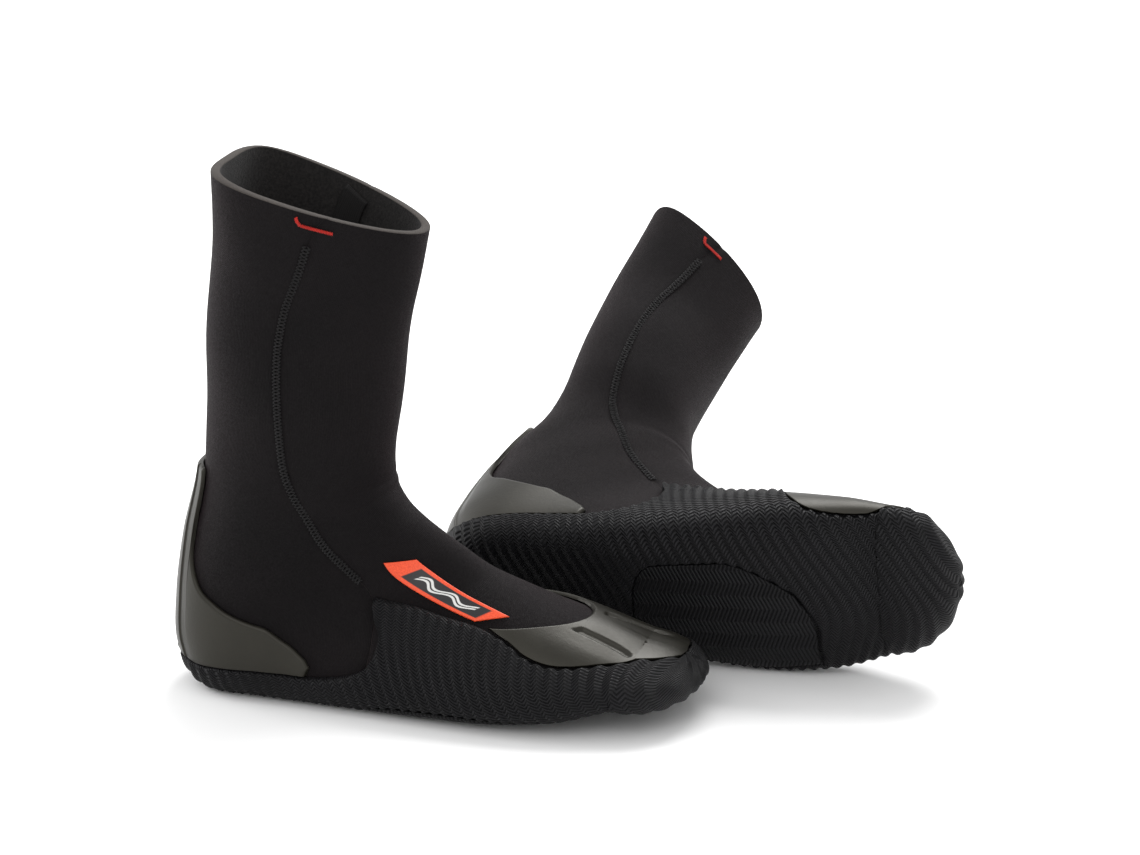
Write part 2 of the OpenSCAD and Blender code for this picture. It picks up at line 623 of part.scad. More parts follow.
module right_shin_panel() color(neoprene) standing() shin_panel(RIGHT);
module right_calf_panel() color(neoprene) standing() calf_panel(RIGHT);
module right_vamp_panel() color(neoprene) standing() vamp_panel(RIGHT);
module right_heel_panel() color(neoprene) standing() heel_panel(RIGHT);
module right_bottom_panel() color(neoprene) standing() bottom_panel(RIGHT);
module right_footbed() color(lining) standing() footbed(RIGHT);
module right_outsole() color(rubber) standing() outsole(RIGHT);
module right_arch_pad() color(rubber) standing() arch_pad(RIGHT);
module right_heel_cup() color(smooth_rubber) standing() heel_cup(RIGHT);
module right_toe_cap() color(smooth_rubber) standing() toe_cap(RIGHT);
module right_label_patch() color(patch_colour) standing() label_patch(RIGHT);
module right_shaft_seam_outer() color(thread) standing() shaft_seam(RIGHT, OUTER);
module right_shaft_seam_inner() color(thread) standing() shaft_seam(RIGHT, INNER);
module right_foot_seam_outer() color(thread) standing() foot_seam(RIGHT, OUTER);
module right_foot_seam_inner() color(thread) standing() foot_seam(RIGHT, INNER);
module right_bartack_outer() color(red_thread) standing() bartack(RIGHT, OUTER);
module right_bartack_inner() color(red_thread) standing() bartack(RIGHT, INNER);
module right_shaft_tape_outer() color(lining) standing() shaft_tape(RIGHT, OUTER);
module right_shaft_tape_inner() color(lining) standing() shaft_tape(RIGHT, INNER);
module right_foot_tape_outer() color(lining) standing() foot_tape(RIGHT, OUTER);
module right_foot_tape_inner() color(lining) standing() foot_tape(RIGHT, INNER);

module left_shin_panel() color(neoprene) lying() shin_panel(LEFT);
module left_calf_panel() color(neoprene) lying() calf_panel(LEFT);
module left_vamp_panel() color(neoprene) lying() vamp_panel(LEFT);
module left_heel_panel() color(neoprene) lying() heel_panel(LEFT);
module left_bottom_panel() color(neoprene) lying() bottom_panel(LEFT);
module left_footbed() color(lining) lying() footbed(LEFT);
module left_outsole() color(rubber) lying() outsole(LEFT);
module left_arch_pad() color(rubber) lying() arch_pad(LEFT);
module left_heel_cup() color(smooth_rubber) lying() heel_cup(LEFT);
module left_toe_cap() color(smooth_rubber) lying() toe_cap(LEFT);
module left_label_patch() color(patch_colour) lying() label_patch(LEFT);
module left_shaft_seam_outer() color(thread) lying() shaft_seam(LEFT, OUTER);
module left_shaft_seam_inner() color(thread) lying() shaft_seam(LEFT, INNER);
module left_foot_seam_outer() color(thread) lying() foot_seam(LEFT, OUTER);
module left_foot_seam_inner() color(thread) lying() foot_seam(LEFT, INNER);
module left_bartack_outer() color(red_thread) lying() bartack(LEFT, OUTER);
module left_bartack_inner() color(red_thread) lying() bartack(LEFT, INNER);
module left_shaft_tape_outer() color(lining) lying() shaft_tape(LEFT, OUTER);
module left_shaft_tape_inner() color(lining) lying() shaft_tape(LEFT, INNER);
module left_foot_tape_outer() color(lining) lying() foot_tape(LEFT, OUTER);
module left_foot_tape_inner() color(lining) lying() foot_tape(LEFT, INNER);

right_shin_panel();
right_calf_panel();
right_vamp_panel();
right_heel_panel();
right_bottom_panel();
right_footbed();
right_outsole();
right_arch_pad();
right_heel_cup();
right_toe_cap();
right_label_patch();
right_shaft_seam_outer();
right_shaft_seam_inner();
right_foot_seam_outer();
right_foot_seam_inner();
right_bartack_outer();
right_bartack_inner();
right_shaft_tape_outer();
right_shaft_tape_inner();
right_foot_tape_outer();
right_foot_tape_inner();
left_shin_panel();
left_calf_panel();
left_vamp_panel();
left_heel_panel();
left_bottom_panel();
left_footbed();
left_outsole();
left_arch_pad();
left_heel_cup();
left_toe_cap();
left_label_patch();
left_shaft_seam_outer();
left_shaft_seam_inner();
left_foot_seam_outer();
left_foot_seam_inner();
left_bartack_outer();
left_bartack_inner();
left_shaft_tape_outer();
left_shaft_tape_inner();
left_foot_tape_outer();
left_foot_tape_inner();
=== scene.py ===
# %% [markdown]
# # A pair of neoprene boots
#
# Water sports boots are sewn from 5 mm foam rubber sheet with knitted jersey glued to both faces, and a rubber
# sole is glued on. One boot stands, the other lies rolled on to its outer side.
#
# Every piece here is worked out as a surface: numpy arrays in, one mesh out. The boots' skin is one smooth
# function of two numbers, so sheets, rubber, stitches and label can all be laid on it at a named height and
# will follow each other exactly. Sculpting by hand would give the same shapes, but not the same fits.

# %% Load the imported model
import bpy
import numpy as np
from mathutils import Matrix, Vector


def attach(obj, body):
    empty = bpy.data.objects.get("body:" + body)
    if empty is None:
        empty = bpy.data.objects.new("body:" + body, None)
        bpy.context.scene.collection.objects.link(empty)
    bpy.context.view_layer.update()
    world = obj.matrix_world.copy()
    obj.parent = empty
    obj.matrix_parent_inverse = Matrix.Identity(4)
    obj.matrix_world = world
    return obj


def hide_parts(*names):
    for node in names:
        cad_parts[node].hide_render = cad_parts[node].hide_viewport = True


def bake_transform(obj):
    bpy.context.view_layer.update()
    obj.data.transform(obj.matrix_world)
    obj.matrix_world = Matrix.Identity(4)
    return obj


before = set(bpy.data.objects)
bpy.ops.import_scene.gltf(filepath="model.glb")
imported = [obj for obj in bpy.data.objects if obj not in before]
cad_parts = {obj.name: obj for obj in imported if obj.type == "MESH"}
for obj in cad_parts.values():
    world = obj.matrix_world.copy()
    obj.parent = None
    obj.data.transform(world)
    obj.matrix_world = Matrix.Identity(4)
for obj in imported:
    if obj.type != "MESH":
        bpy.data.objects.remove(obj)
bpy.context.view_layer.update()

# %% [markdown]
# ## Camera
#
# A long lens far away keeps the boots' proportions true, as in a catalogue picture. The camera stands
# a little above the boots and a little round towards their toes.

# %% Camera
camera = bpy.data.objects.new("camera", bpy.data.cameras.new("camera"))
bpy.context.scene.collection.objects.link(camera)
eye = Vector((0.6786, -1.9772, 0.7847))
aim = Vector((0.1334, 0.0548, 0.1415))
camera.location = eye
camera.rotation_euler = (aim - eye).to_track_quat("-Z", "Y").to_euler()
camera.data.sensor_width = 36
camera.data.lens = 127.8
camera.data.clip_end = 60
bpy.context.scene.camera = camera
print("camera", round((aim - eye).length, 3), "m from the boots")

# %% [markdown]
# ## The last
#
# A shoemaker builds on a last: a solid foot that gives the boot its shape. Here the last is a table of
# cross-sections, called stations, that run from the rim down the shaft, round the ankle and out to the toe.
# Reading the table smoothly between its rows gives a section anywhere, and an angle goes round that section.
# Station and angle are the two parameters of every surface below. Sizes are in millimetres until a piece
# is placed.

# %% The table of stations
back_height, rim_drop = 294, 33
rim, ankle, heel, ball = 98, 81, 75, 104
sheet, cement, sole_thick = 5.0, 0.7, 4.0
ground = sole_thick + cement
# front x and z, back x and z, half width, hollow back, narrow front, shift to the inner side
STATIONS = np.array([
    (142, back_height - rim_drop, 29, back_height, rim / 2, 0.30, 0.17, 0),
    (134.5, 222, 24.5, 248, rim * 0.475, 0.05, 0.30, -1),
    (127.5, 189, 20, 201, ankle * 0.545, 0.03, 0.10, 0),
    (122.5, 155, 19, 158, ankle * 0.515, 0, 0, 0),
    (120.5, 132, 15.5, 122, ankle / 2, 0, 0, 0),
    (122, 119, 6.5, 87, ankle * 0.475, 0, 0, 0),
    (127.5, 109.5, 1.5, 51, heel * 0.5, 0.08, 0, 0),
    (137, 101.5, 2.5, 23, heel * 0.49, 0.20, 0, 0),
    (148, 94, 17, ground + 0.7, heel * 0.48, 0.35, 0, 0),
    (160, 86, 53, ground, heel * 0.49, 0.45, 0, 0),
    (174, 77, 101, ground, ball * 0.395, 0.45, 0, -1),
    (191, 69, 146, ground + 0.2, ball * 0.445, 0.45, 0, -1),
    (210.5, 60.5, 185, ground + 1.2, ball * 0.485, 0.45, 0, 0),
    (237, 51, 220, ground + 5.2, ball * 0.475, 0.43, 0, 1),
    (261, 40.5, 248, ground + 12.7, ball * 0.425, 0.38, 0, 3)])
TOE = len(STATIONS) - 1
TIP = (288, 6, 23)
print(len(STATIONS), "stations, sole", TIP[0], "mm long")

# %% Reading tables
def read(table, u):
    """Row number u of a table, read smoothly: the Catmull-Rom curve through the rows on both sides of u."""
    table, u = np.asarray(table, float), np.asarray(u, float)
    i = np.clip(np.floor(u).astype(int), 0, len(table) - 2)
    t = (u - i)[..., None]
    a, b, c, d = (table[np.clip(i + k, 0, len(table) - 1)] for k in (-1, 0, 1, 2))
    return (2 * b + (c - a) * t + (2 * a - 5 * b + 4 * c - d) * t ** 2 + (3 * b - a - 3 * c + d) * t ** 3) / 2


def between(table, u):
    """Row number u of a table along straight lines between its rows."""
    table, u = np.asarray(table, float), np.asarray(u, float)
    i = np.clip(np.floor(u).astype(int), 0, len(table) - 2)
    t = (u - i)[..., None]
    return table[i] * (1 - t) + table[i + 1] * t


def smooth(x, low=0.0, high=1.0):
    """0 below low, 1 above high, and 3t^2 - 2t^3 between them."""
    t = np.clip((x - low) / (high - low), 0, 1)
    return t * t * (3 - 2 * t)

# %% [markdown]
# ## The skin
#
# A section is a rounded rectangle between an ellipse and a box (a superellipse): the cosine and sine of the
# angle are each raised to a power a little under one. Past the last station the section shrinks along a
# quarter circle to the toe's tip. The left boot is the same boot, whose soft shaft has flopped: pressed
# flatter, leaned over and twisted.

# %% The skin as a function
def last_point(u, v):
    """Point of the last at station u and angle v in degrees: 0 is the front, 180 the back or the bottom.
    Middle of front and back, plus half their distance times (cos v less the hollow times sin^2 v);
    the width is the half width times sin v. Past the toe station both halves shrink with a quarter circle."""
    u, v = np.broadcast_arrays(np.asarray(u, float), np.asarray(v, float))
    body = read(STATIONS, np.minimum(u, TOE))
    past = np.radians(90 * np.clip(u - TOE, 0, 1))
    s, k = np.sin(past), np.maximum(np.cos(past), 0) ** 0.9
    fx, fz, bx, bz, half, hollow, narrow, shift = np.moveaxis(body, -1, 0)
    curve = lambda a: np.sign(a) * np.abs(a) ** (2 / 2.25)
    c, w = curve(np.cos(np.radians(v))), curve(np.sin(np.radians(v)))
    f = c - hollow * w * w
    x = (fx + bx) / 2 * (1 - s) + TIP[0] * s + (fx - bx) / 2 * k * f
    z = (fz + bz) / 2 * (1 - s) + TIP[2] * s + (fz - bz) / 2 * k * f
    y = shift * (1 - s) + TIP[1] * s + half * k * w * (1 - narrow * (1 + c) / 2)
    return np.stack([x, y, z], -1)


HINGE = (71, 115)


def turned(a, b, degrees):
    """The pair (a, b) turned by an angle."""
    r = np.radians(degrees)
    return a * np.cos(r) - b * np.sin(r), a * np.sin(r) + b * np.cos(r)


def flop(p):
    """The left shaft's slump: above the ankle it is pressed to three quarters front to back, leaned 16 degrees
    to its inner side, and twisted by 20 degrees towards the rim, each growing smoothly with height."""
    x, y, z = np.moveaxis(p, -1, 0)
    w = smooth(z, HINGE[1] - 8, HINGE[1] + 55)
    x = (x - HINGE[0]) * (1 - 0.25 * w)
    y, z = turned(y, z - HINGE[1], -16 * w)
    x, y = turned(x, y, -20 * np.clip(z / (back_height - HINGE[1]), 0, 1))
    return np.stack([x + HINGE[0], y, z + HINGE[1]], -1)


def skin(boot, u, v):
    """Outer face of the neoprene, before the boot is set in its place."""
    return last_point(u, v) if boot == "right" else flop(last_point(u, v))


def unit(p):
    """Arrows of length one."""
    return p / np.maximum(np.linalg.norm(p, axis=-1, keepdims=True), 1e-9)


def lift(boot, u, v, d):
    """The skin moved d millimetres out along its normal, the cross product of its two slopes."""
    u, v, d = np.broadcast_arrays(*(np.asarray(a, float) for a in (u, v, d)))
    along = skin(boot, u + 0.02, v) - skin(boot, np.maximum(0, u - 0.02), v)
    round_it = skin(boot, u, v + 1) - skin(boot, u, v - 1)
    n = unit(np.cross(along, round_it))
    e = STATIONS[TOE]
    forward = unit(np.array([TIP[0] - (e[0] + e[2]) / 2, TIP[1], TIP[2] - (e[1] + e[3]) / 2]))
    n = np.where((u > TOE + 0.97)[..., None], forward, n)
    return skin(boot, u, v) + d[..., None] * n


def place(boot, p):
    """From a boot's own millimetres to metres in the shared frame. The left boot is mirrored, rolled 74 degrees
    on to its outer side, and set beside the right one."""
    p = np.asarray(p, float)
    if boot == "right":
        return (p - (HINGE[0], 0, 0)) / 1000
    x, y, z = np.moveaxis(p, -1, 0)
    y, z = turned(-y, z, -74)
    z, x = turned(z, x, -2)
    x, y = turned(x, y, -0.5)
    return np.stack([x + 54, y + 64, z + 41.3838], -1) / 1000


for boot in ("right", "left"):
    whole = place(boot, skin(boot, *np.meshgrid(np.linspace(0, 15, 90), np.arange(0, 360, 4), indexing="ij")))
    print(boot, "skin spans", whole.reshape(-1, 3).min(0).round(3), whole.reshape(-1, 3).max(0).round(3))

# %% [markdown]
# ## Where the pieces end
#
# A boot's pieces are cut along lines drawn on the last. Each line is a table of station and angle, with the
# station where that row crosses the piece's middle. The front sheet and the back sheet share one line, the
# seam; the sole, the heel cup, the toe cap and the footbed have lines of their own.

# %% The lines on the last
SEAM = [(0, 64, 0, 0), (0.6, 80, 0.6, 0.7), (1.2, 90, 1.2, 1.3), (2.1, 91, 2.1, 2.2), (3, 90, 3, 3),
        (3.7, 87, 3.7, 3.6), (4.3, 81, 4.3, 4.1), (5, 73, 5, 4.6), (6, 63, 6, 5.1), (7.1, 54, 7.1, 5.6),
        (8.1, 50, 8.1, 6), (8.9, 56, 8.8, 6.3), (9.5, 72, 9.4, 6.6), (9.9, 92, 9.8, 6.9),
        (10.3, 112, 10.3, 7.15), (10.8, 122, 10.8, 7.4), (11.6, 122, 11.6, 9.2), (12.4, 121, 12.4, 11),
        (13.2, 121, 13.2, 12.8), (14, 122, 14, 14), (14.55, 122, 14.55, 14.55), (15, 122, 15, 15)]
SOLE_EDGE = [(6.95, 180, 6.95), (7, 168, 6.98), (7.2, 150, 7.1), (7.45, 136, 7.35), (7.85, 116, 7.8),
             (8.3, 105, 8.35), (8.85, 101, 9), (9.4, 98, 9.6), (9.8, 88, 10), (9.68, 74, 10.2),
             (9.4, 64, 10.35), (8.9, 56, 10.5), (8.55, 51, 10.65), (8.9, 49, 10.8), (9.5, 46, 11),
             (10.1, 45, 11.2), (10.7, 43.5, 11.45), (11.2, 44, 11.7), (11.7, 47, 12), (12.15, 53, 12.35),
             (12.6, 55.5, 12.7), (13.05, 52, 13.1), (13.5, 44, 13.5), (13.8, 38, 13.8), (14.2, 24, 14.2),
             (14.42, 9, 14.42), (14.47, 0, 14.47), (14.68, 0, 14.68), (14.86, 0, 14.86), (15, 0, 15)]
SOLE_CLOSES = 26
# On the inner side the edge dips under the big toe, so that the toe cap shows beside the sole: degrees added to
# the angle, from row 17 on.
INNER_EDGE = np.array(SOLE_EDGE, float)
INNER_EDGE[17:26, 1] += (2, 13, 29, 42.5, 52, 60, 60, 50, 23)
CUP_EDGE = [(3.85, 180, 0), (3.85, 172, 1), (3.85, 166, 1.75), (3.85, 161, 2.4), (3.85, 160, 2.6),
            (3.85, 158, 2.7), (3.87, 152, 2.85), (3.95, 148, 3), (4.6, 145, 3.1), (5.3, 142, 3.25),
            (5.9, 129, 3.6), (6.4, 113, 4.1), (7, 98, 4.8), (7.6, 88, 5.3), (8.3, 85, 5.9), (8.9, 89, 6.4),
            (9.15, 92.5, 6.7)]
CAP_EDGE = [(12.75, 0, 26), (12.74, 3.5, 25.4), (12.7, 8, 24.8), (12.62, 13, 24.2), (12.5, 18, 23.5),
            (12.33, 23, 22.9), (12.12, 27.5, 22.2), (11.9, 31.5, 21.3), (11.65, 35.5, 20.2), (11.4, 39, 19),
            (11.2, 41.3, 18.1), (11.08, 42, 17.3)]
FOOTBED_EDGE = [(8.3, 156, 8), (8.7, 140, 8.35), (9.2, 133, 9), (10, 130, 10), (11, 129, 11), (12, 129, 12),
                (13, 130, 13), (13.7, 133, 13.7), (14.25, 142, 14.25)]


# Half the gap between the glued edges of the front and the back sheet, small enough to let no light through.
BUTT = 0.03


def beside(table, s, d):
    """Station and angle of an edge line at row s, moved d millimetres across it, towards the front sheet."""
    a, b = read(table, np.maximum(0, s - 0.05)), read(table, np.minimum(len(table) - 1, s + 0.05))
    du, dv = (b[..., 0] - a[..., 0]) * 25, (b[..., 1] - a[..., 1]) * 0.7
    n, e = np.maximum(np.hypot(du, dv), 1e-6), read(table, s)
    return e[..., 0] + d * dv / n / 25, e[..., 1] - d * du / n / 0.7


def round_back(u, v, middle, t, fan):
    """A row round the back or the bottom: t runs from -1, the inner edge, to 1, the outer; the station goes
    from the middle's to the edge's with the power 'fan' of |t|."""
    return middle + (u - middle) * np.abs(t) ** fan, 180 + t * (180 - v)


def front_rows(s, t):
    """Front sheet: t from -1, the outer seam, through 0, the middle, to 1, the inner seam."""
    u, v = beside(SEAM, s, BUTT)
    m = read(SEAM, s)[..., 2]
    return np.minimum(m + (u - m) * np.abs(t), 15), v * t


def back_rows(s, t):
    """Back sheet, from the inner seam round the back to the outer seam."""
    return round_back(*beside(SEAM, s, -BUTT), read(SEAM, s)[..., 3], t, 2.2)


def sole_rows(s, t):
    """Outsole, row by row from the heel to the toe, where the rows close into rings."""
    e = np.where((t < 0)[..., None], read(INNER_EDGE, s), read(SOLE_EDGE, s))
    u, v = round_back(e[..., 0], e[..., 1], e[..., 2], t, 6)
    ring = s >= SOLE_CLOSES
    return np.where(ring, between(SOLE_EDGE, s)[..., 0], u), np.where(ring, 180 + 180 * t, v)


def net(s, t):
    """Every pair of a row number and a column number, as two arrays."""
    return np.meshgrid(np.asarray(s, float), np.asarray(t, float), indexing="ij")


def fine_ends(n, low=-1.0, high=1.0):
    """n + 1 numbers from low to high that crowd together at both ends, as a cosine does, for rounded edges."""
    return low + (high - low) * (1 - np.cos(np.linspace(0, np.pi, n + 1))) / 2


print("seam line of", len(SEAM), "rows, sole edge of", len(SOLE_EDGE))

# %% [markdown]
# ## Turning arrays into a mesh
#
# Every sheet of the boot has two faces and a wall round its edge. Given the outer face and the inner face as
# two grids of points, the shell below is closed by joining their borders. A few index tricks close a row into
# a ring and a last row into one point, so no seam or pole is left open.

# %% A closed shell from two grids
def quads(index):
    """Four-cornered faces between neighbouring rows and columns of an index grid."""
    return np.stack([index[:-1, :-1], index[:-1, 1:], index[1:, 1:], index[1:, :-1]], -1).reshape(-1, 4)


def add_mesh(name, points, faces, finishes, marks=None, cloth=None, flip=False):
    """A mesh object at the origin from points in metres. Faces with two corners on one vertex become triangles.
    'marks' gives each face's finish number, 'cloth' a coordinate in metres for each point."""
    faces = np.asarray(faces)
    marks = np.zeros(len(faces), int) if marks is None else np.asarray(marks)
    same = faces == np.roll(faces, -1, 1)
    twice = same.sum(1)
    corners = [faces[twice == 0][:, ::-1] if flip else faces[twice == 0]]
    three = faces[twice == 1][~same[twice == 1]].reshape(-1, 3)
    corners.append(three[:, ::-1] if flip else three)
    used = np.unique(np.concatenate([c.ravel() for c in corners]))
    short = np.zeros(len(points), int)
    short[used] = np.arange(len(used))
    corners = [short[c] for c in corners]
    mesh = bpy.data.meshes.new(name)
    mesh.vertices.add(len(used))
    mesh.vertices.foreach_set("co", points[used].astype(np.float32).ravel())
    loops = np.concatenate([c.ravel() for c in corners])
    sizes = np.repeat([4, 3], [len(corners[0]), len(corners[1])])
    mesh.loops.add(len(loops))
    mesh.loops.foreach_set("vertex_index", loops.astype(np.int32))
    mesh.polygons.add(len(sizes))
    mesh.polygons.foreach_set("loop_start", (np.cumsum(sizes) - sizes).astype(np.int32))
    marks = np.concatenate([marks[twice == 0], marks[twice == 1]])
    mesh.polygons.foreach_set("material_index", marks.astype(np.int32))
    mesh.polygons.foreach_set("use_smooth", np.ones(len(sizes), bool))
    mesh.update(calc_edges=True)
    if cloth is not None:
        layer = mesh.uv_layers.new(name="cloth")
        layer.data.foreach_set("uv", cloth[used][loops].astype(np.float32).ravel())
    for finish in finishes:
        mesh.materials.append(finish)
    piece = bpy.data.objects.new(name, mesh)
    bpy.context.scene.collection.objects.link(piece)
    return piece


def arc(p, axis):
    """Length walked along a grid's rows or columns, in the grid's own unit."""
    step = np.linalg.norm(np.diff(p, axis=axis), axis=-1)
    start = np.zeros_like(np.take(step, [0], axis=axis))
    return np.concatenate([start, np.cumsum(step, axis=axis)], axis=axis)


def edge_distance(p, sides="snwe"):
    """Millimetres from each grid point to the nearest named border: n is the first row, s the last,
    w the first column, e the last."""
    down, across = arc(p, 0), arc(p, 1)
    away = {"n": down, "s": down[-1:] - down, "w": across, "e": across[:, -1:] - across}
    return np.minimum.reduce([away[k] for k in sides])


def bullnose(distance, radius):
    """The rise of a quarter circle: 0 at the edge, 1 from one radius inwards."""
    return np.sqrt(1 - (1 - np.clip(distance / radius, 0, 1)) ** 2)


def shell(name, boot, outer, inner, finishes, ring_from=None, point=False, inner_mark=0, edge_mark=0, cloth=None):
    """A closed piece between two grids in a boot's millimetres. From row 'ring_from' on, the first and last
    columns are the same points; with 'point' the last row is a single point."""
    m, n = outer.shape[:2]
    index = np.arange(m * n).reshape(m, n)
    if ring_from is not None:
        index[ring_from:, -1] = index[ring_from:, 0]
    if point:
        index[-1] = index[-1, 0]
    back = index + m * n
    open_rows = slice(None) if ring_from is None else slice(0, ring_from + 1)
    top = np.stack([back[0], index[0]])
    left = np.stack([index[open_rows, 0], back[open_rows, 0]])
    right = np.stack([back[open_rows, -1], index[open_rows, -1]])
    walls = [quads(top), quads(left), quads(right)]
    if not point:
        walls.append(quads(np.stack([index[-1], back[-1]])))
    parts = [quads(index), quads(back)[:, ::-1]] + walls
    marks = np.repeat([0, inner_mark] + [edge_mark] * len(walls), [len(p) for p in parts])
    points = place(boot, np.concatenate([outer.reshape(-1, 3), inner.reshape(-1, 3)]))
    if cloth is None:
        cloth = np.stack([arc(outer, 0), arc(outer, 1)], -1) / 1000
    cloth = np.concatenate([cloth.reshape(-1, 2)] * 2)
    return add_mesh(name, points, np.concatenate(parts), finishes, marks, cloth, flip=boot == "right")


def tube(name, boot, path, radius, finish, sides=6):
    """A thread: a circle carried along a path in a boot's millimetres, with two rounded ends. At each point the
    circle stands square to the path, on two arrows made from the path's direction and the way up from it."""
    path = np.asarray(path, float)
    ahead = unit(np.gradient(path, axis=0))
    up = unit(np.cross(ahead, np.array([0.3, 0.5, 0.81])))
    side = np.cross(ahead, up)
    angle = np.linspace(0, 2 * np.pi, sides, endpoint=False)
    thick = np.full(len(path), float(radius))
    thick[[0, -1]] = radius * 0.1
    circle = np.cos(angle)[:, None] * up[:, None] + np.sin(angle)[:, None] * side[:, None]
    loop = path[:, None] + thick[:, None, None] * circle
    index = np.arange(loop.shape[0] * sides).reshape(-1, sides)
    index = np.concatenate([index, index[:, :1]], 1)
    cloth = np.stack([arc(loop, 0), np.broadcast_to(angle / 6283, loop.shape[:2])], -1) / [1000, 1]
    faces = quads(index)
    ends = [index[0, [0, 2, 1, 1]], index[0, [0, 3, 2, 2]], index[0, [0, 4, 3, 3]], index[0, [0, 5, 4, 4]],
            index[-1, [0, 1, 2, 2]], index[-1, [0, 2, 3, 3]], index[-1, [0, 3, 4, 4]], index[-1, [0, 4, 5, 5]]]
    return add_mesh(name, place(boot, loop.reshape(-1, 3)), np.concatenate([faces, ends]), [finish],
                    cloth=cloth.reshape(-1, 2), flip=boot == "left")

# %% [markdown]
# ## Finishes
#
# Each finish is a small node tree: a Principled shader whose colour, roughness and bump come from patterns in
# real millimetres. Patterns on cloth follow the piece's own "cloth" coordinates, which measure how far a point
# is along and across its sheet, so a knit row bends with the sheet. Patterns with no direction, such as the
# cells of cut foam, read the object's own coordinates.

# %% Node helpers
class Finish:
    """A material being built: nodes are added by name and joined by values, numbers or other nodes' outputs."""

    def __init__(self, name, colour, roughness, **sockets):
        self.material = bpy.data.materials.new(name)
        self.material.use_nodes = True
        self.tree = self.material.node_tree
        self.shader = self.tree.nodes["Principled BSDF"]
        self.shader.inputs["Base Color"].default_value = (*colour, 1)
        self.shader.inputs["Roughness"].default_value = roughness
        for socket, value in sockets.items():
            self.shader.inputs[socket.replace("_", " ")].default_value = value

    def node(self, kind, socket=0, inputs=(), **settings):
        """A new node. Inputs are (name or number, value or output) pairs; the result is its named output."""
        made = self.tree.nodes.new("ShaderNode" + kind)
        for key, value in settings.items():
            setattr(made, key, value)
        for key, value in inputs:
            if isinstance(value, bpy.types.NodeSocket):
                self.tree.links.new(value, made.inputs[key])
            else:
                made.inputs[key].default_value = value
        return made.outputs[socket]

    def math(self, operation, a, b=0.0, c=0.0):
        return self.node("Math", inputs=((0, a), (1, b), (2, c)), operation=operation)

    def where(self, kind="Object"):
        return self.node("TexCoord", kind)

    def cloth(self):
        """The piece's own coordinates, as two outputs in millimetres: along and across."""
        uv = self.node("UVMap", uv_map="cloth")
        split = self.node("SeparateXYZ", inputs=((0, uv),)).node
        return self.math("MULTIPLY", split.outputs[0], 1000.0), self.math("MULTIPLY", split.outputs[1], 1000.0)

    def noise(self, scale, detail=2.0, roughness=0.5, vector=None):
        return self.node("TexNoise", "Fac", (("Vector", vector or self.where()), ("Scale", scale),
                                             ("Detail", detail), ("Roughness", roughness)))

    def spread(self, value, low, high, to_low=0.0, to_high=1.0):
        return self.node("MapRange", inputs=((0, value), (1, low), (2, high), (3, to_low), (4, to_high)))

    def mix(self, factor, a, b):
        """Colour a where the factor is 0 and b where it is 1."""
        made = self.node("Mix", 2, data_type="RGBA").node
        self.tree.links.new(factor, made.inputs[0])
        for number, value in ((6, a), (7, b)):
            if isinstance(value, bpy.types.NodeSocket):
                self.tree.links.new(value, made.inputs[number])
            else:
                made.inputs[number].default_value = (*value, 1)
        return made.outputs[2]

    def paint(self, socket, value):
        self.tree.links.new(value, self.shader.inputs[socket])

    def bump(self, height, distance, strength=1.0, under=None):
        """Relief of the given depth in metres, on top of an earlier relief."""
        pairs = [("Strength", strength), ("Distance", distance), ("Height", height)]
        if under is not None:
            pairs.append(("Normal", under))
        out = self.node("Bump", inputs=pairs)
        self.paint("Normal", out)
        return out

# %% [markdown]
# ### Jersey, lining and cut foam
#
# The outside is a fine black jersey, slightly brown, with a soft sheen at grazing angles. Its knit is a grid of
# tiny V-shaped loops: a sine along the row, whose phase is pushed forwards and back across the column, with painted
# shade in the gaps between the loops. Close up it shows as grain, and from afar only as a soft surface. The lining is
# a rougher grey plush, and the cut rim shows the foam between the two, a little lighter and full of tiny cells.

# %% Cloth finishes
def knit(finish, pitch, push):
    """Height of a knit: |sin| across the columns, times a sine along the rows pushed by a triangle wave."""
    along, across = finish.cloth()
    column = finish.math("ABSOLUTE", finish.math("SINE", finish.math("MULTIPLY", across, 3.1416 / pitch)))
    v = finish.math("PINGPONG", across, pitch / 2)
    row = finish.math("SINE", finish.math("MULTIPLY", finish.math("ADD", along, finish.math("MULTIPLY", v, push)),
                                          6.2832 / (pitch * 0.8)))
    return finish.math("MULTIPLY", column, finish.math("ADD", finish.math("MULTIPLY", row, 0.35), 0.65))


jersey = Finish("jersey", (0.004, 0.003, 0.0033), 0.78, Sheen_Weight=0.05, Sheen_Roughness=0.4,
                Sheen_Tint=(0.75, 0.55, 0.6, 1), Specular_IOR_Level=0.12)
knit_relief_and_shade = knit(jersey, 0.9, 1.2)
blotch = jersey.noise(14, 3, 0.6)
lint = jersey.noise(900, 2, 0.7)
shade = jersey.mix(jersey.spread(blotch, 0.35, 0.7), (0.0040, 0.0030, 0.0034), (0.0085, 0.0060, 0.0068))
# Painted shade: where the knit's relief is low, in the gaps between the loops, the colour is painted darker (0.0016)
# than the blotchy tone on the loops.
jersey.paint("Base Color", jersey.mix(jersey.spread(knit_relief_and_shade, 0.0, 0.8), (0.0016, 0.0013, 0.0015), shade))
jersey.paint("Roughness", jersey.spread(lint, 0.3, 0.7, 0.62, 0.85))
jersey.bump(jersey.noise(60, 3, 0.55), 0.0007, 0.35, under=jersey.bump(knit_relief_and_shade, 0.00022, 0.8))

lining = Finish("lining", (0.012, 0.011, 0.011), 0.9, Sheen_Weight=0.08, Sheen_Roughness=0.6, Specular_IOR_Level=0.15)
plush = lining.noise(700, 4, 0.7)
lining.paint("Base Color", lining.mix(lining.spread(plush, 0.35, 0.65), (0.005, 0.0045, 0.0045),
                                      (0.017, 0.015, 0.0145)))
lining.bump(plush, 0.0006, 0.8)

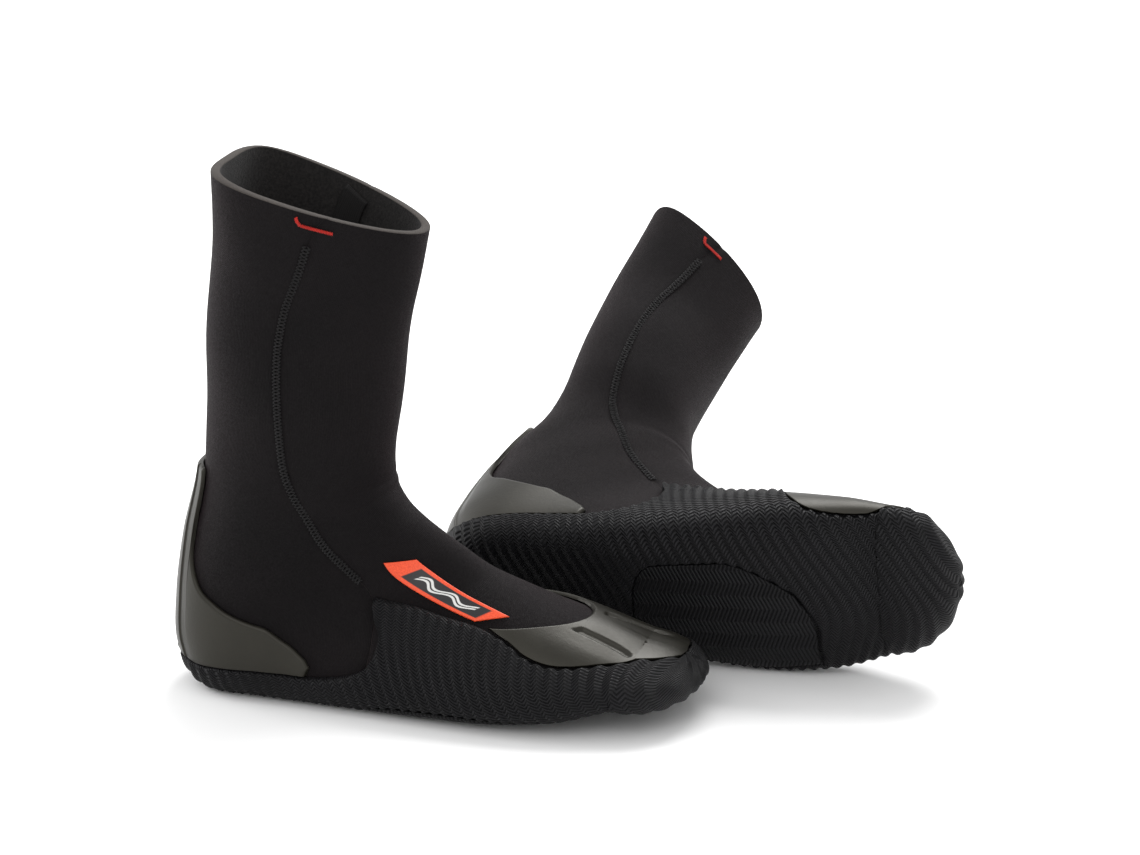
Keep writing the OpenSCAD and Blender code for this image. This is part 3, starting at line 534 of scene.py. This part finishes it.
cut_foam = Finish("cut_foam", (0.06, 0.05, 0.045), 0.85)
cells = cut_foam.node("TexVoronoi", "Distance", (("Vector", cut_foam.where()), ("Scale", 2200.0)))
cut_foam.paint("Base Color", cut_foam.mix(cut_foam.spread(cells, 0.1, 0.7), (0.012, 0.010, 0.009),
                                          (0.045, 0.036, 0.030)))
cut_foam.bump(cells, 0.0003, 0.7)
print("cloth finishes:", jersey.material.name, lining.material.name, cut_foam.material.name)

# %% [markdown]
# ### Rubber
#
# The tread is black rubber with fine ribs, 1.9 mm apart, that run along the foot in a zigzag. The zigzag keeps step
# with the larger waves of the tread, so each wave tilts its ribs the other way. Two coordinates are stored on
# the piece for this: how many waves along, and how many millimetres across. The pad under the arch has its ribs
# across the foot, in wide rows of Vs. Heel cup and toe cap are smooth satin rubber, olive grey, that catches
# broad highlights.

# %% Rubber finishes
def ribbed(name, rib_pitch, zigzag, groove, crest):
    """Ribs: the distance across is pushed by a triangle wave of the wave number, and its fraction of the rib
    pitch gives a rounded ridge, |sin| raised to a power under one, with its narrow groove painted dark as painted
    shade."""
    rubber = Finish(name, crest, 0.5, Specular_IOR_Level=0.2)
    waves, across = rubber.cloth()
    fold = rubber.math("MULTIPLY", rubber.math("PINGPONG", waves, 0.5), 2 * zigzag)
    turn = rubber.math("MULTIPLY", rubber.math("ADD", across, fold), 3.1416 / rib_pitch)
    ridge = rubber.math("POWER", rubber.math("ABSOLUTE", rubber.math("SINE", turn)), 0.75)
    dust = rubber.noise(90, 4, 0.65)
    tone = rubber.mix(rubber.spread(dust, 0.3, 0.75), tuple(0.75 * c for c in crest), tuple(1.35 * c for c in crest))
    # Painted shade: the narrow grooves between the ribs take the darker groove colour, and the crests the rubber's own
    # tone.
    rubber.paint("Base Color", rubber.mix(rubber.spread(ridge, 0.15, 0.85), groove, tone))
    rubber.paint("Roughness", rubber.spread(ridge, 0.2, 1.0, 0.8, 0.46))
    rubber.bump(ridge, 0.0009, 1.0)
    return rubber


# For each rubber the first colour is painted shade for the rib grooves, the second the rubber's own colour on the
# crests.
tread = ribbed("ribbed_rubber", 1.9, 2.8, (0.0006, 0.0006, 0.0008), (0.0048, 0.0045, 0.0056))
pad_tread = ribbed("arch_rubber", 2.3, 3.4, (0.0006, 0.0006, 0.0008), (0.0040, 0.0038, 0.0048))

satin = Finish("satin_rubber", (0.009, 0.0082, 0.006), 0.4, Specular_IOR_Level=0.36, Specular_Tint=(1, 0.96, 0.86, 1))
scuff = satin.noise(35, 4, 0.6)
speck = satin.noise(520, 3, 0.6)
satin.paint("Base Color", satin.mix(satin.spread(scuff, 0.3, 0.75), (0.0060, 0.0056, 0.0040), (0.0110, 0.0102, 0.0074)))
satin.paint("Roughness", satin.spread(scuff, 0.25, 0.8, 0.34, 0.48))
satin.bump(speck, 0.00012, 0.6)
print("rubber finishes:", tread.material.name, pad_tread.material.name, satin.material.name)

# %% Thread, tape, footbed and label finishes
def twisted(name, dark, light):
    """Thread: two plies twisted round each other show as slanting stripes along it; the darker stripes are painted
    shade between the plies.
    """
    thread = Finish(name, light, 0.6, Sheen_Weight=0.05, Specular_IOR_Level=0.25)
    along, round_it = thread.cloth()
    ply_relief_and_shade = thread.math("SINE", thread.math("MULTIPLY", thread.math("ADD", along, round_it), 9.0))
    # Painted shade: the thread is darkened in the slanting grooves between its plies.
    thread.paint("Base Color", thread.mix(thread.spread(ply_relief_and_shade, -0.6, 0.6), dark, light))
    thread.bump(ply_relief_and_shade, 0.0001, 0.6)
    return thread


# The first colour of each thread is painted shade between the plies, the second its own colour.
black_thread = twisted("black_thread", (0.002, 0.0018, 0.002), (0.010, 0.009, 0.0095))
red_thread = twisted("red_thread", (0.28, 0.008, 0.005), (0.60, 0.022, 0.012))

tape = Finish("seam_tape", (0.009, 0.008, 0.008), 0.7, Specular_IOR_Level=0.2)
tape_weave_and_shade = knit(tape, 1.2, 0.4)
# Painted shade: the low gaps of the tape's weave are painted darker than its raised threads.
tape.paint("Base Color", tape.mix(tape_weave_and_shade, (0.005, 0.0045, 0.0045), (0.013, 0.012, 0.012)))
tape.bump(tape_weave_and_shade, 0.0002, 0.7)

footbed_foam = Finish("footbed_foam", (0.03, 0.03, 0.032), 0.85, Sheen_Weight=0.2)
pores = footbed_foam.node("TexVoronoi", "Distance", (("Vector", footbed_foam.where()), ("Scale", 420.0)))
footbed_foam.paint("Base Color", footbed_foam.mix(pores, (0.014, 0.014, 0.015), (0.045, 0.044, 0.046)))
footbed_foam.bump(pores, 0.0004, 0.6)

# %% [markdown]
# ### The label
#
# The label is a printed patch: an orange-red frame round a black field with a light device on it. Its own
# coordinates run from 0 to 1 along and across. Straight comparisons draw the frame, and three sine curves
# draw a plain wave, which takes the place of any lettering.

# %% Label finish
label = Finish("label_print", (0.7, 0.08, 0.02), 0.42, Specular_IOR_Level=0.4)
p, q = label.cloth()
slant = label.math("ADD", p, label.math("MULTIPLY", q, -0.10))
inside = label.math("MINIMUM", label.spread(slant, 0.135, 0.15), label.spread(slant, 0.885, 0.87))
inside = label.math("MINIMUM", inside, label.math("MINIMUM", label.spread(q, 0.15, 0.18), label.spread(q, 0.86, 0.83)))
curl = label.math("MULTIPLY", label.math("SINE", label.math("MULTIPLY", slant, 25.0)), 0.12)
crest = label.math("ABSOLUTE", label.math("SUBTRACT", label.math("ADD", q, curl), 0.50))
wave = label.math("MINIMUM", label.spread(crest, 0.125, 0.105), label.math("MINIMUM",
                  label.spread(slant, 0.235, 0.245), label.spread(slant, 0.80, 0.79)))
split = label.math("MULTIPLY", wave, label.spread(crest, 0.02, 0.035))
weave = label.noise(1500, 2, 0.5)
red = label.mix(label.spread(weave, 0.3, 0.7), (0.62, 0.050, 0.012), (0.80, 0.085, 0.022))
field = label.mix(inside, red, (0.010, 0.009, 0.010))
label.paint("Base Color", label.mix(split, field, (0.62, 0.62, 0.60)))
label.bump(weave, 0.0001, 0.5)
print(len(bpy.data.materials), "materials so far")

# %% [markdown]
# ## The two sheets
#
# On the real boot the front sheet runs unbroken from the rim over the shin and the foot to the toe, and the back
# sheet from the rim down the calf and round the heel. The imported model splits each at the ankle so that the
# shaft can turn. Here each is one piece again, and it bends smoothly where the model has its joint line.
#
# The sheets dip where they meet, because the seam pulls the foam down, and the soft shaft is never quite even:
# a few low, broad waves keep it from looking machined. The rim is a cut edge: a rounded end between the two faces.

# %% Sheet surfaces
def seam_dip(distance):
    """How far the face is pulled in near a seam: deepest at the edge, gone a few millimetres away."""
    return -0.75 * np.exp(-(distance / 2.1) ** 2)


def slump(u, v, boot):
    """Broad waves of the soft shaft, in millimetres: two slow sines, strongest between the rim and the ankle,
    and three soft creases across the front of the ankle."""
    a = np.radians(v)
    body = smooth(u, 0.2, 1.2) * (1 - smooth(u, 4.6, 6.5))
    wave = 0.55 * np.sin(1.9 * u + 2 * a + (0.6 if boot == "left" else 2.2)) + 0.35 * np.sin(3.1 * u - 3 * a + 1.0)
    front = np.exp(-(np.abs(v) / 55) ** 2)
    crease = -0.5 * np.exp(-((u - 4.55 - 0.12 * np.cos(2 * a)) / 0.16) ** 2) \
        - 0.35 * np.exp(-((u - 5.25 + 0.15 * np.cos(a)) / 0.2) ** 2) + 0.45 * np.exp(-((u - 4.9) / 0.3) ** 2)
    return body * wave + front * crease


def around(v):
    """An angle brought between -180 and 180."""
    return (v + 180) % 360 - 180


def sheet_piece(name, boot, rows_of, s, t, point):
    """Outer face, rounded rim and inner face of a sheet, five millimetres thick."""
    u, v = rows_of(*net(s, t))
    face = lift(boot, u, v, 0)
    d = seam_dip(edge_distance(face, "we")) + slump(u, around(v), boot)
    outer, inner = lift(boot, u, v, d), lift(boot, u, v, -sheet)
    up = unit(outer[0] - outer[1])
    depth = np.array([0.2, 0.8, 1.7, 2.48])
    rise = 0.75 * np.sqrt(1 - ((depth - 2.5) / 2.5) ** 2)
    top = outer[0] + (inner[0] - outer[0]) * (depth / sheet)[:, None, None] + up * rise[:, None, None]
    low = inner[0] + (outer[0] - inner[0]) * (depth / sheet)[:, None, None] + up * rise[:, None, None]
    outer, inner = np.concatenate([top[::-1], outer]), np.concatenate([low[::-1], inner])
    piece = shell(name, boot, outer, inner, [jersey.material, lining.material, cut_foam.material],
                  point=point, inner_mark=1, edge_mark=2)
    marks = np.zeros(len(piece.data.polygons), np.int32)
    piece.data.polygons.foreach_get("material_index", marks)
    columns = len(t) - 1
    marks[:4 * columns] = 2
    second = (len(outer) - 1) * columns - (columns if point else 0)
    marks[second:second + 4 * columns] = 2
    piece.data.polygons.foreach_set("material_index", marks)
    return piece


def joined(*pieces):
    """Several meshes made one object."""
    with bpy.context.temp_override(active_object=pieces[0], selected_editable_objects=list(pieces)):
        bpy.ops.object.join()
    return pieces[0]


shaft_levels = np.concatenate([[0, 0.03], np.linspace(0.1, 8, 96)])
sheets = {}
for boot in ("right", "left"):
    levels = np.concatenate([shaft_levels, np.linspace(8.08, 15, 70), np.linspace(15.1, 21, 40)])
    sheets[boot, "front"] = sheet_piece(boot + "_front_sheet", boot, front_rows, levels, fine_ends(44), True)
    levels = np.concatenate([shaft_levels, np.linspace(8.08, 14.95, 70)])
    sheets[boot, "back"] = sheet_piece(boot + "_back_sheet", boot, back_rows, levels, fine_ends(52), False)
print({piece.name: len(piece.data.polygons) for piece in sheets.values()})

# %% [markdown]
# The shaft rides on one body and the foot on another.

# %% Which body carries what
def fixed(piece, boot, *nodes, slot, body="foot"):
    """The piece rides on a body and stands for CAD nodes; its slot argument is not used."""
    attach(piece, f"{boot}_{body}")
    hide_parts(*(f"{boot}_{node}" for node in nodes))
    return piece


def bending(piece, boot, *nodes, slot):
    """The piece's place is baked into its mesh, and it stands for CAD nodes."""
    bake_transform(piece)
    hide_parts(*(f"{boot}_{node}" for node in nodes))
    return piece


def flop_axis(boot, z):
    """The shaft's middle line at a height, in the boot's millimetres."""
    p = np.array([float(HINGE[0]), 0.0, float(z)])
    return p if boot == "right" else flop(p)


for boot in ("right", "left"):
    bending(sheets[boot, "front"], boot, "shin_panel", "vamp_panel", slot="neoprene")
    bending(sheets[boot, "back"], boot, "calf_panel", "heel_panel", slot="neoprene")
print("ankle blend of the left boot from", place("left", flop_axis("left", 132)).round(3))

# %% [markdown]
# ## Under the foot
#
# A third sheet closes the boot underneath, and a loose footbed lies on it. Both are mostly hidden: one sees
# the footbed only down the shaft. It is still a finished piece, with a rounded edge and a pore pattern.

# %% Under-foot sheet and footbed
for boot in ("right", "left"):
    u, v = back_rows(*net(np.concatenate([[15.05], np.linspace(15.2, 20.2, 50)]), np.linspace(-1, 1, 33)))
    under = shell(boot + "_under_foot_sheet", boot, lift(boot, u, v, -0.5), lift(boot, u, v, -sheet),
                  [jersey.material, lining.material], inner_mark=1)
    fixed(under, boot, "bottom_panel", slot="neoprene")

    s, t = net(fine_ends(48, 0, len(FOOTBED_EDGE) - 1), fine_ends(28))
    e = read(FOOTBED_EDGE, s)
    u, v = round_back(e[..., 0], e[..., 1], e[..., 2], t, 2.2)
    base = lift(boot, u, v, -sheet - 1)
    top = lift(boot, u, v, -sheet - 1 - 3 * (0.3 + 0.7 * bullnose(edge_distance(base), 2.5)))
    footbed = shell(boot + "_footbed_foam", boot, base, top, [footbed_foam.material])
    fixed(footbed, boot, "footbed", slot="foam")
print("footbed", [round(1000 * c) for c in (Vector(footbed.bound_box[6]) - Vector(footbed.bound_box[0]))], "mm")

# %% [markdown]
# ## The sole
#
# The outsole is one moulding of black rubber: the tread, a low strip round the heel, and two side flaps that
# climb the foot. Its tread is thrown into waves about 6.5 mm apart that arch forwards across the foot. They
# are real relief, and where they run out at a flap's edge they scallop it. The fine zigzag ribs on them are
# the finish's own relief. A D-shaped hollow under the arch holds the ribbed pad.

# %% Outsole
WAVE, WAVE_DEPTH = 6.5, 1.25


def tread_phase(p):
    """Wave number at a point: how far along the foot it lies, plus a shift that grows away from a line on the
    outer half of the sole, so the waves arch forwards there."""
    x, y, z = np.moveaxis(p, -1, 0)
    girth = y + np.tanh(y / 10) * np.maximum(z - 14, 0) * 0.9
    return (x + 0.55 * np.sqrt((girth + 18) ** 2 + 300)) / WAVE


def tread_cloth(p, middle):
    """Tread coordinates: wave number, and millimetres across from the sole's middle line."""
    across = arc(p, 1)
    return np.stack([tread_phase(p), across - across[:, middle:middle + 1]], -1) / 1000


def pad_reach(s, t):
    """How far inside the pad's D a point is, 1 well inside and 0 outside. The D runs from row 9.2 to row 20.4 and
    from column -0.2 to column 0.5; its inner front corner is rounded off by a long quarter ellipse."""
    out = np.hypot(np.maximum(s - 15.2, 0) / 5.2, np.maximum(0.22 - t, 0) / 0.42)
    rear = np.hypot(np.maximum(11.4 - s, 0) / 2.2, np.maximum(0.05 - t, 0) / 0.25)
    inside = np.minimum(smooth(-out, -1.008, -0.985), smooth(-rear, -1.01, -0.98))
    return np.minimum(inside, smooth(-t, -0.506, -0.488))


for boot in ("right", "left"):
    rows = np.unique(np.concatenate([np.linspace(0.02, 0.5, 8), np.linspace(0.5, 9, 84), np.linspace(9, 21, 210),
                                     np.linspace(21, 26, 60), np.linspace(26, 29, 20)]))
    half = np.concatenate([np.linspace(0, 0.93, 78), 1 - 0.07 * np.cos(np.linspace(0, np.pi / 2, 9))[1:]])
    columns = np.concatenate([-half[:0:-1], half])
    s, t = net(rows, columns)
    u, v = sole_rows(s, t)
    middle = len(half) - 1
    low = lift(boot, u, v, cement)
    plain = last_point(u, v)
    phase = tread_phase(plain)
    crest = 0.5 + 0.5 * np.cos(2 * np.pi * phase)
    ring = int(np.searchsorted(rows, SOLE_CLOSES))
    away = edge_distance(plain[:ring + 1], "nwe")
    away = np.concatenate([away, np.full((len(rows) - ring - 1, len(columns)), 20.0)])
    away = np.where(s > 25, np.maximum(away, 20 * smooth(s, 25, 26)), away)
    edge = bullnose(np.maximum(away - 1.1 * (1 - crest) * smooth(s, 10, 12), 0), 2.6)
    recess = 2.0 * pad_reach(s, t)
    height = cement + (sole_thick - WAVE_DEPTH * (1 - crest) - recess) * (0.06 + 0.94 * edge)
    top = lift(boot, u, v, height)
    top[..., 2] = np.maximum(top[..., 2], recess + 0.9 * (1 - crest) * smooth(-plain[..., 2], -14, -6))
    sole = shell(boot + "_ribbed_outsole", boot, top, low, [tread.material], ring_from=ring, point=True,
                 cloth=tread_cloth(plain, middle))
    fixed(sole, boot, "outsole", slot="rubber")
print("outsole faces", len(sole.data.polygons), "waves", round(float(phase.max() - phase.min())))

# %% Arch pad
for boot in ("right", "left"):
    f, t = net(fine_ends(110), fine_ends(64, -0.195, 0.48))
    bow = np.sqrt(1 - (np.maximum(0.22 - t, 0) / 0.42) ** 2)
    first, last = 11.4 - 2.1 * np.sqrt(1 - (np.maximum(0.05 - t, 0) / 0.25) ** 2), 15.2 + 5.05 * bow
    u, v = sole_rows((first + last) / 2 + f * (last - first) / 2, t)
    plain = last_point(u, v)
    edge = bullnose(edge_distance(plain), 1.4)
    low, top = lift(boot, u, v, 2.7 + cement), lift(boot, u, v, 2.7 + cement + 0.1 + 0.8 * edge)
    low[..., 2] = np.maximum(low[..., 2], 1.3)
    top[..., 2] = np.maximum(top[..., 2], 1.25 - 0.95 * edge)
    cloth = np.stack([(plain[..., 1] + 40) / 17, plain[..., 0]], -1) / 1000
    pad = shell(boot + "_ribbed_arch_pad", boot, top, low, [pad_tread.material], cloth=cloth)
    fixed(pad, boot, "arch_pad", slot="rubber")
print("arch pad", [round(1000 * c) for c in (Vector(pad.bound_box[6]) - Vector(pad.bound_box[0]))], "mm")

# %% [markdown]
# ## Heel cup and toe cap
#
# Both are smooth mouldings glued over the neoprene. The cup hugs the heel, with a raised band up the back and
# wings that sweep forward. The cap covers the toes, with a point on top and two tapering grooves. Their edges are
# rounded off, and heights change smoothly, so the light runs over them in one broad streak.

# %% Heel cup
def cup_rows(i, f):
    """Cup: column i of its edge table, negative towards the inner side, and f from the top edge, 0, to the sole, 1."""
    c = read(CUP_EDGE, np.abs(i))
    low_u, low_v = beside(SOLE_EDGE, c[..., 2], cement)
    low_v = np.where(np.abs(i) < 0.5, 180 + (low_v - 180) * np.abs(i) * 2, low_v)
    v = c[..., 1] * (1 - f) + low_v * f
    return c[..., 0] * (1 - f) + low_u * f, np.where(i > 0, 360 - v, v)


for boot in ("right", "left"):
    end = len(CUP_EDGE) - 1
    half = np.unique(np.concatenate([np.linspace(0, 3, 18), np.linspace(3, 4.2, 16), np.linspace(4.2, end - 0.6, 56),
                                     end - 0.6 * np.cos(np.linspace(0, np.pi / 2, 9))]))
    i, f = net(fine_ends(52, 0, 1), np.concatenate([-half[:0:-1], half]))
    u, v = cup_rows(f, i)
    low = lift(boot, u, v, cement)
    edge = bullnose(edge_distance(low, "nwe"), 2.2)
    band = 0.9 * smooth(-np.abs(f), -4.2, -3.4)
    bulge = 0.35 * np.sin(np.pi * i) * smooth(np.abs(f), 4, 9)
    top = lift(boot, u, v, cement + 0.15 + (2.05 + band + bulge) * edge)
    cup = shell(boot + "_satin_heel_cup", boot, top, low, [satin.material])
    fixed(cup, boot, "heel_cup", slot="smooth_rubber")
print("heel cup faces", len(cup.data.polygons))

# %% Toe cap
def cap_rows(t, f):
    """Cap: column t of its edge table, negative towards the outer side, and f from the rear edge, 0, to the sole, 1."""
    c = between(CAP_EDGE, np.abs(t))
    row = np.minimum(c[..., 2], SOLE_CLOSES - 0.1)
    u, v = np.where(t > 0, beside(INNER_EDGE, row, cement), beside(SOLE_EDGE, row, cement))
    nose = smooth(-np.abs(t), -0.9, -0.1)
    u, v = u * (1 - nose) + 14.44 * nose, v * (1 - nose)
    return c[..., 0] * (1 - f) + u * f, np.sign(t) * (c[..., 1] * (1 - f) + v * f)


def groove(t, f, middle, bend, wide):
    """A groove that follows the column 'middle', bends by 'bend' columns and narrows from its wide rear end."""
    centre = middle + bend * np.sin(np.pi * 0.9 * f)
    half = wide * (1 - 0.6 * f)
    return smooth(-np.abs(t - centre) / half, -1, -0.45) * smooth(f, 0.12, 0.17) * smooth(-f, -0.93, -0.82)


for boot in ("right", "left"):
    f, t = net(fine_ends(64, 0, 1), np.concatenate([-11 + 0.5 * (1 - np.cos(np.linspace(0, np.pi / 2, 10)[:-1])),
                                                    np.linspace(-10.5, 10.5, 170),
                                                    11 - 0.5 * (1 - np.cos(np.linspace(np.pi / 2, 0, 10)[1:]))]))
    u, v = cap_rows(t, f)
    low = lift(boot, u, v, cement)
    edge = bullnose(edge_distance(low, "nwe"), 1.6)
    cut = np.maximum(groove(t, f, -4.3, 0.5, 0.55), groove(t, f, 0.9, 0.5, 0.55))
    toes = 0.35 * np.sin(np.pi * f) * np.cos((t - 4.9) * 1.02)
    top = lift(boot, u, v, cement + 0.15 + (2.2 + toes - 1.7 * cut) * edge)
    cap = shell(boot + "_satin_toe_cap", boot, top, low, [satin.material])
    fixed(cap, boot, "toe_cap", slot="smooth_rubber")
print("toe cap faces", len(cap.data.polygons))

# %% [markdown]
# ## Label
#
# The patch slants down the outer side of the vamp. It is a thin sheet with a soft edge, laid just over the jersey.

# %% Label patch
for boot in ("right", "left"):
    x, y = net(fine_ends(50), fine_ends(24))
    u = 9.5 + x / 2 * 3.1 + y / 2 * 0.6
    v = -34 - x / 2 * 2.5 + y / 2 * 11.7
    low = lift(boot, u, v, cement)
    top = lift(boot, u, v, cement + 0.1 + 0.75 * bullnose(edge_distance(low), 0.9))
    cloth = np.stack([(x + 1) / 2, (1 - y) / 2], -1) / 1000
    patch = shell(boot + "_printed_label", boot, top, low, [label.material], cloth=cloth)
    fixed(patch, boot, "label_patch", slot="patch")
print("label", [round(1000 * c) for c in (Vector(patch.bound_box[6]) - Vector(patch.bound_box[0]))], "mm")

# %% [markdown]
# ## Stitches, tapes and bartacks
#
# The sheets are glued edge to edge and blind-stitched: a black thread crosses the seam back and forth, and a
# second one crosses it the other way, which gives a row of small crosses. Inside, a tape is glued over the seam.
# Under the rim, where the seam would start to tear, a bartack of dense red thread holds it.

# %% Stitches
def seam_line(side, s):
    """Station and angle of the seam on the outer, -1, or inner, 1, side."""
    e = read(SEAM, s)
    return e[..., 0], e[..., 1] * side


def across_line(boot, u, v, d):
    """Each point of a line on the skin, moved d millimetres sideways along the skin."""
    p = lift(boot, u, v, 0)
    n = unit(lift(boot, u, v, 1) - p)
    side = unit(np.cross(n, np.gradient(p, axis=0)))
    return p + d[:, None] * side, n


def zigzag(name, boot, u, v, width, pitch, radius, height, finish, start=0.0):
    """A thread that swings from side to side as a triangle wave with rounded turns while it goes along the line.
    It rises a little in the middle of each crossing and dives at each turn, as a stitch does."""
    p = lift(boot, u, v, 0)
    walk = arc(p, 0)
    count = int(walk[-1] / pitch) * 6 + 1
    where = np.linspace(0, walk[-1], count)
    u, v = np.interp(where, walk, u), np.interp(where, walk, v)
    phase = np.pi * where / pitch + start
    swing = width / 2 * np.arcsin(0.97 * np.sin(phase)) / np.arcsin(0.97)
    line, n = across_line(boot, u, v, swing)
    rise = height - 0.35 * radius * (np.abs(np.sin(phase)) > 0.9)
    return tube(name, boot, line + rise[:, None] * n, radius, finish.material)


for boot in ("right", "left"):
    for side, word in ((-1, "outer"), (1, "inner")):
        u, v = seam_line(side, np.linspace(0.8, 9.7, 400))
        pair = [zigzag(f"{boot}_stitches_{word}", boot, u, v, 4.2, 1.9, 0.34, 0.30, black_thread),
                zigzag(f"{boot}_stitches_{word}_2", boot, u, v, 4.2, 1.9, 0.34, 0.52, black_thread, np.pi)]
        bending(joined(*pair), boot, f"shaft_seam_{word}", f"foot_seam_{word}", slot="thread")
print("stitches", len(pair[0].data.polygons), "faces a seam")

# %% Tapes
for boot in ("right", "left"):
    for side, word in ((-1, "outer"), (1, "inner")):
        u, v = seam_line(side, np.linspace(0.4, 14, 150))
        depth = -sheet - 1.1
        face = [across_line(boot, u, v, np.full(len(u), w)) for w in 8 * np.linspace(-1, 1, 13)]
        top = np.stack([line + depth * n for line, n in face], 1)
        low = np.stack([line + (depth - 0.5) * n for line, n in face], 1)
        strip = shell(f"{boot}_tape_{word}", boot, top, low, [tape.material])
        bending(strip, boot, f"shaft_tape_{word}", f"foot_tape_{word}", slot="tape")
print("tape", len(strip.data.polygons), "faces each")

# %% Bartacks
for boot in ("right", "left"):
    for side, word in ((-1, "outer"), (1, "inner")):
        u0, v0 = seam_line(side, np.array(0.45))
        half = 13 / 2 / 0.8
        corner = np.array([(0.12, v0 + side * half), (u0 - 0.05, v0 + side * half), (u0, v0 + side * (half - 1)),
                           (u0, v0), (u0, v0 - side * half)])
        path = between(corner, np.linspace(0, 4, 120))
        bar = zigzag(f"{boot}_red_bartack_{word}", boot, path[:, 0], path[:, 1], 1.7, 0.42, 0.3, 0.62, red_thread)
        fixed(bar, boot, f"bartack_{word}", slot="red_thread", body="shaft")
print("bartack", len(bar.data.polygons), "faces each")

# %% [markdown]
# ## Floor and light
#
# The floor is plain and nearly white. Soft light comes from everywhere, so that dark cloth keeps its shape, and
# two large lamps, one overhead behind the boots and one at the left, draw long highlights on the satin rubber.

# %% Floor and light
scene = bpy.context.scene
scene.view_settings.view_transform = "Standard"

floor_finish = Finish("pale_floor", (0.93, 0.93, 0.93), 0.9, Specular_IOR_Level=0.1)
grain = floor_finish.noise(3, 2, 0.5)
floor_finish.paint("Base Color", floor_finish.mix(grain, (0.92, 0.92, 0.92), (0.94, 0.94, 0.94)))
across, along = net(np.linspace(-9, 9, 10), np.linspace(-6, 14, 10))
flat = np.stack([across, along, np.zeros_like(across)], -1).reshape(-1, 3)
floor = add_mesh("floor", flat, quads(np.arange(100).reshape(10, 10)), [floor_finish.material], flip=True)

world = bpy.data.worlds.new("studio")
world.use_nodes = True
world.node_tree.nodes["Background"].inputs["Color"].default_value = (1, 1, 1, 1)
world.node_tree.nodes["Background"].inputs["Strength"].default_value = 1.0
scene.world = world


def softbox(name, place_at, towards, size, power):
    """A square area lamp that faces a point."""
    lamp = bpy.data.objects.new(name, bpy.data.lights.new(name, "AREA"))
    lamp.data.size = size
    lamp.data.energy = power
    lamp.location = place_at
    lamp.rotation_euler = (Vector(towards) - Vector(place_at)).to_track_quat("-Z", "Y").to_euler()
    scene.collection.objects.link(lamp)
    return lamp


softbox("overhead", (0.3, 1.1, 1.7), (0.15, 0.1, 0.05), 1.2, 34)
softbox("left", (-1.9, 0.3, 0.9), (0.0, 0.0, 0.15), 1.0, 18)
softbox("front", (0.2, -2.4, 2.0), (0.15, 0.05, 0.1), 1.4, 14)
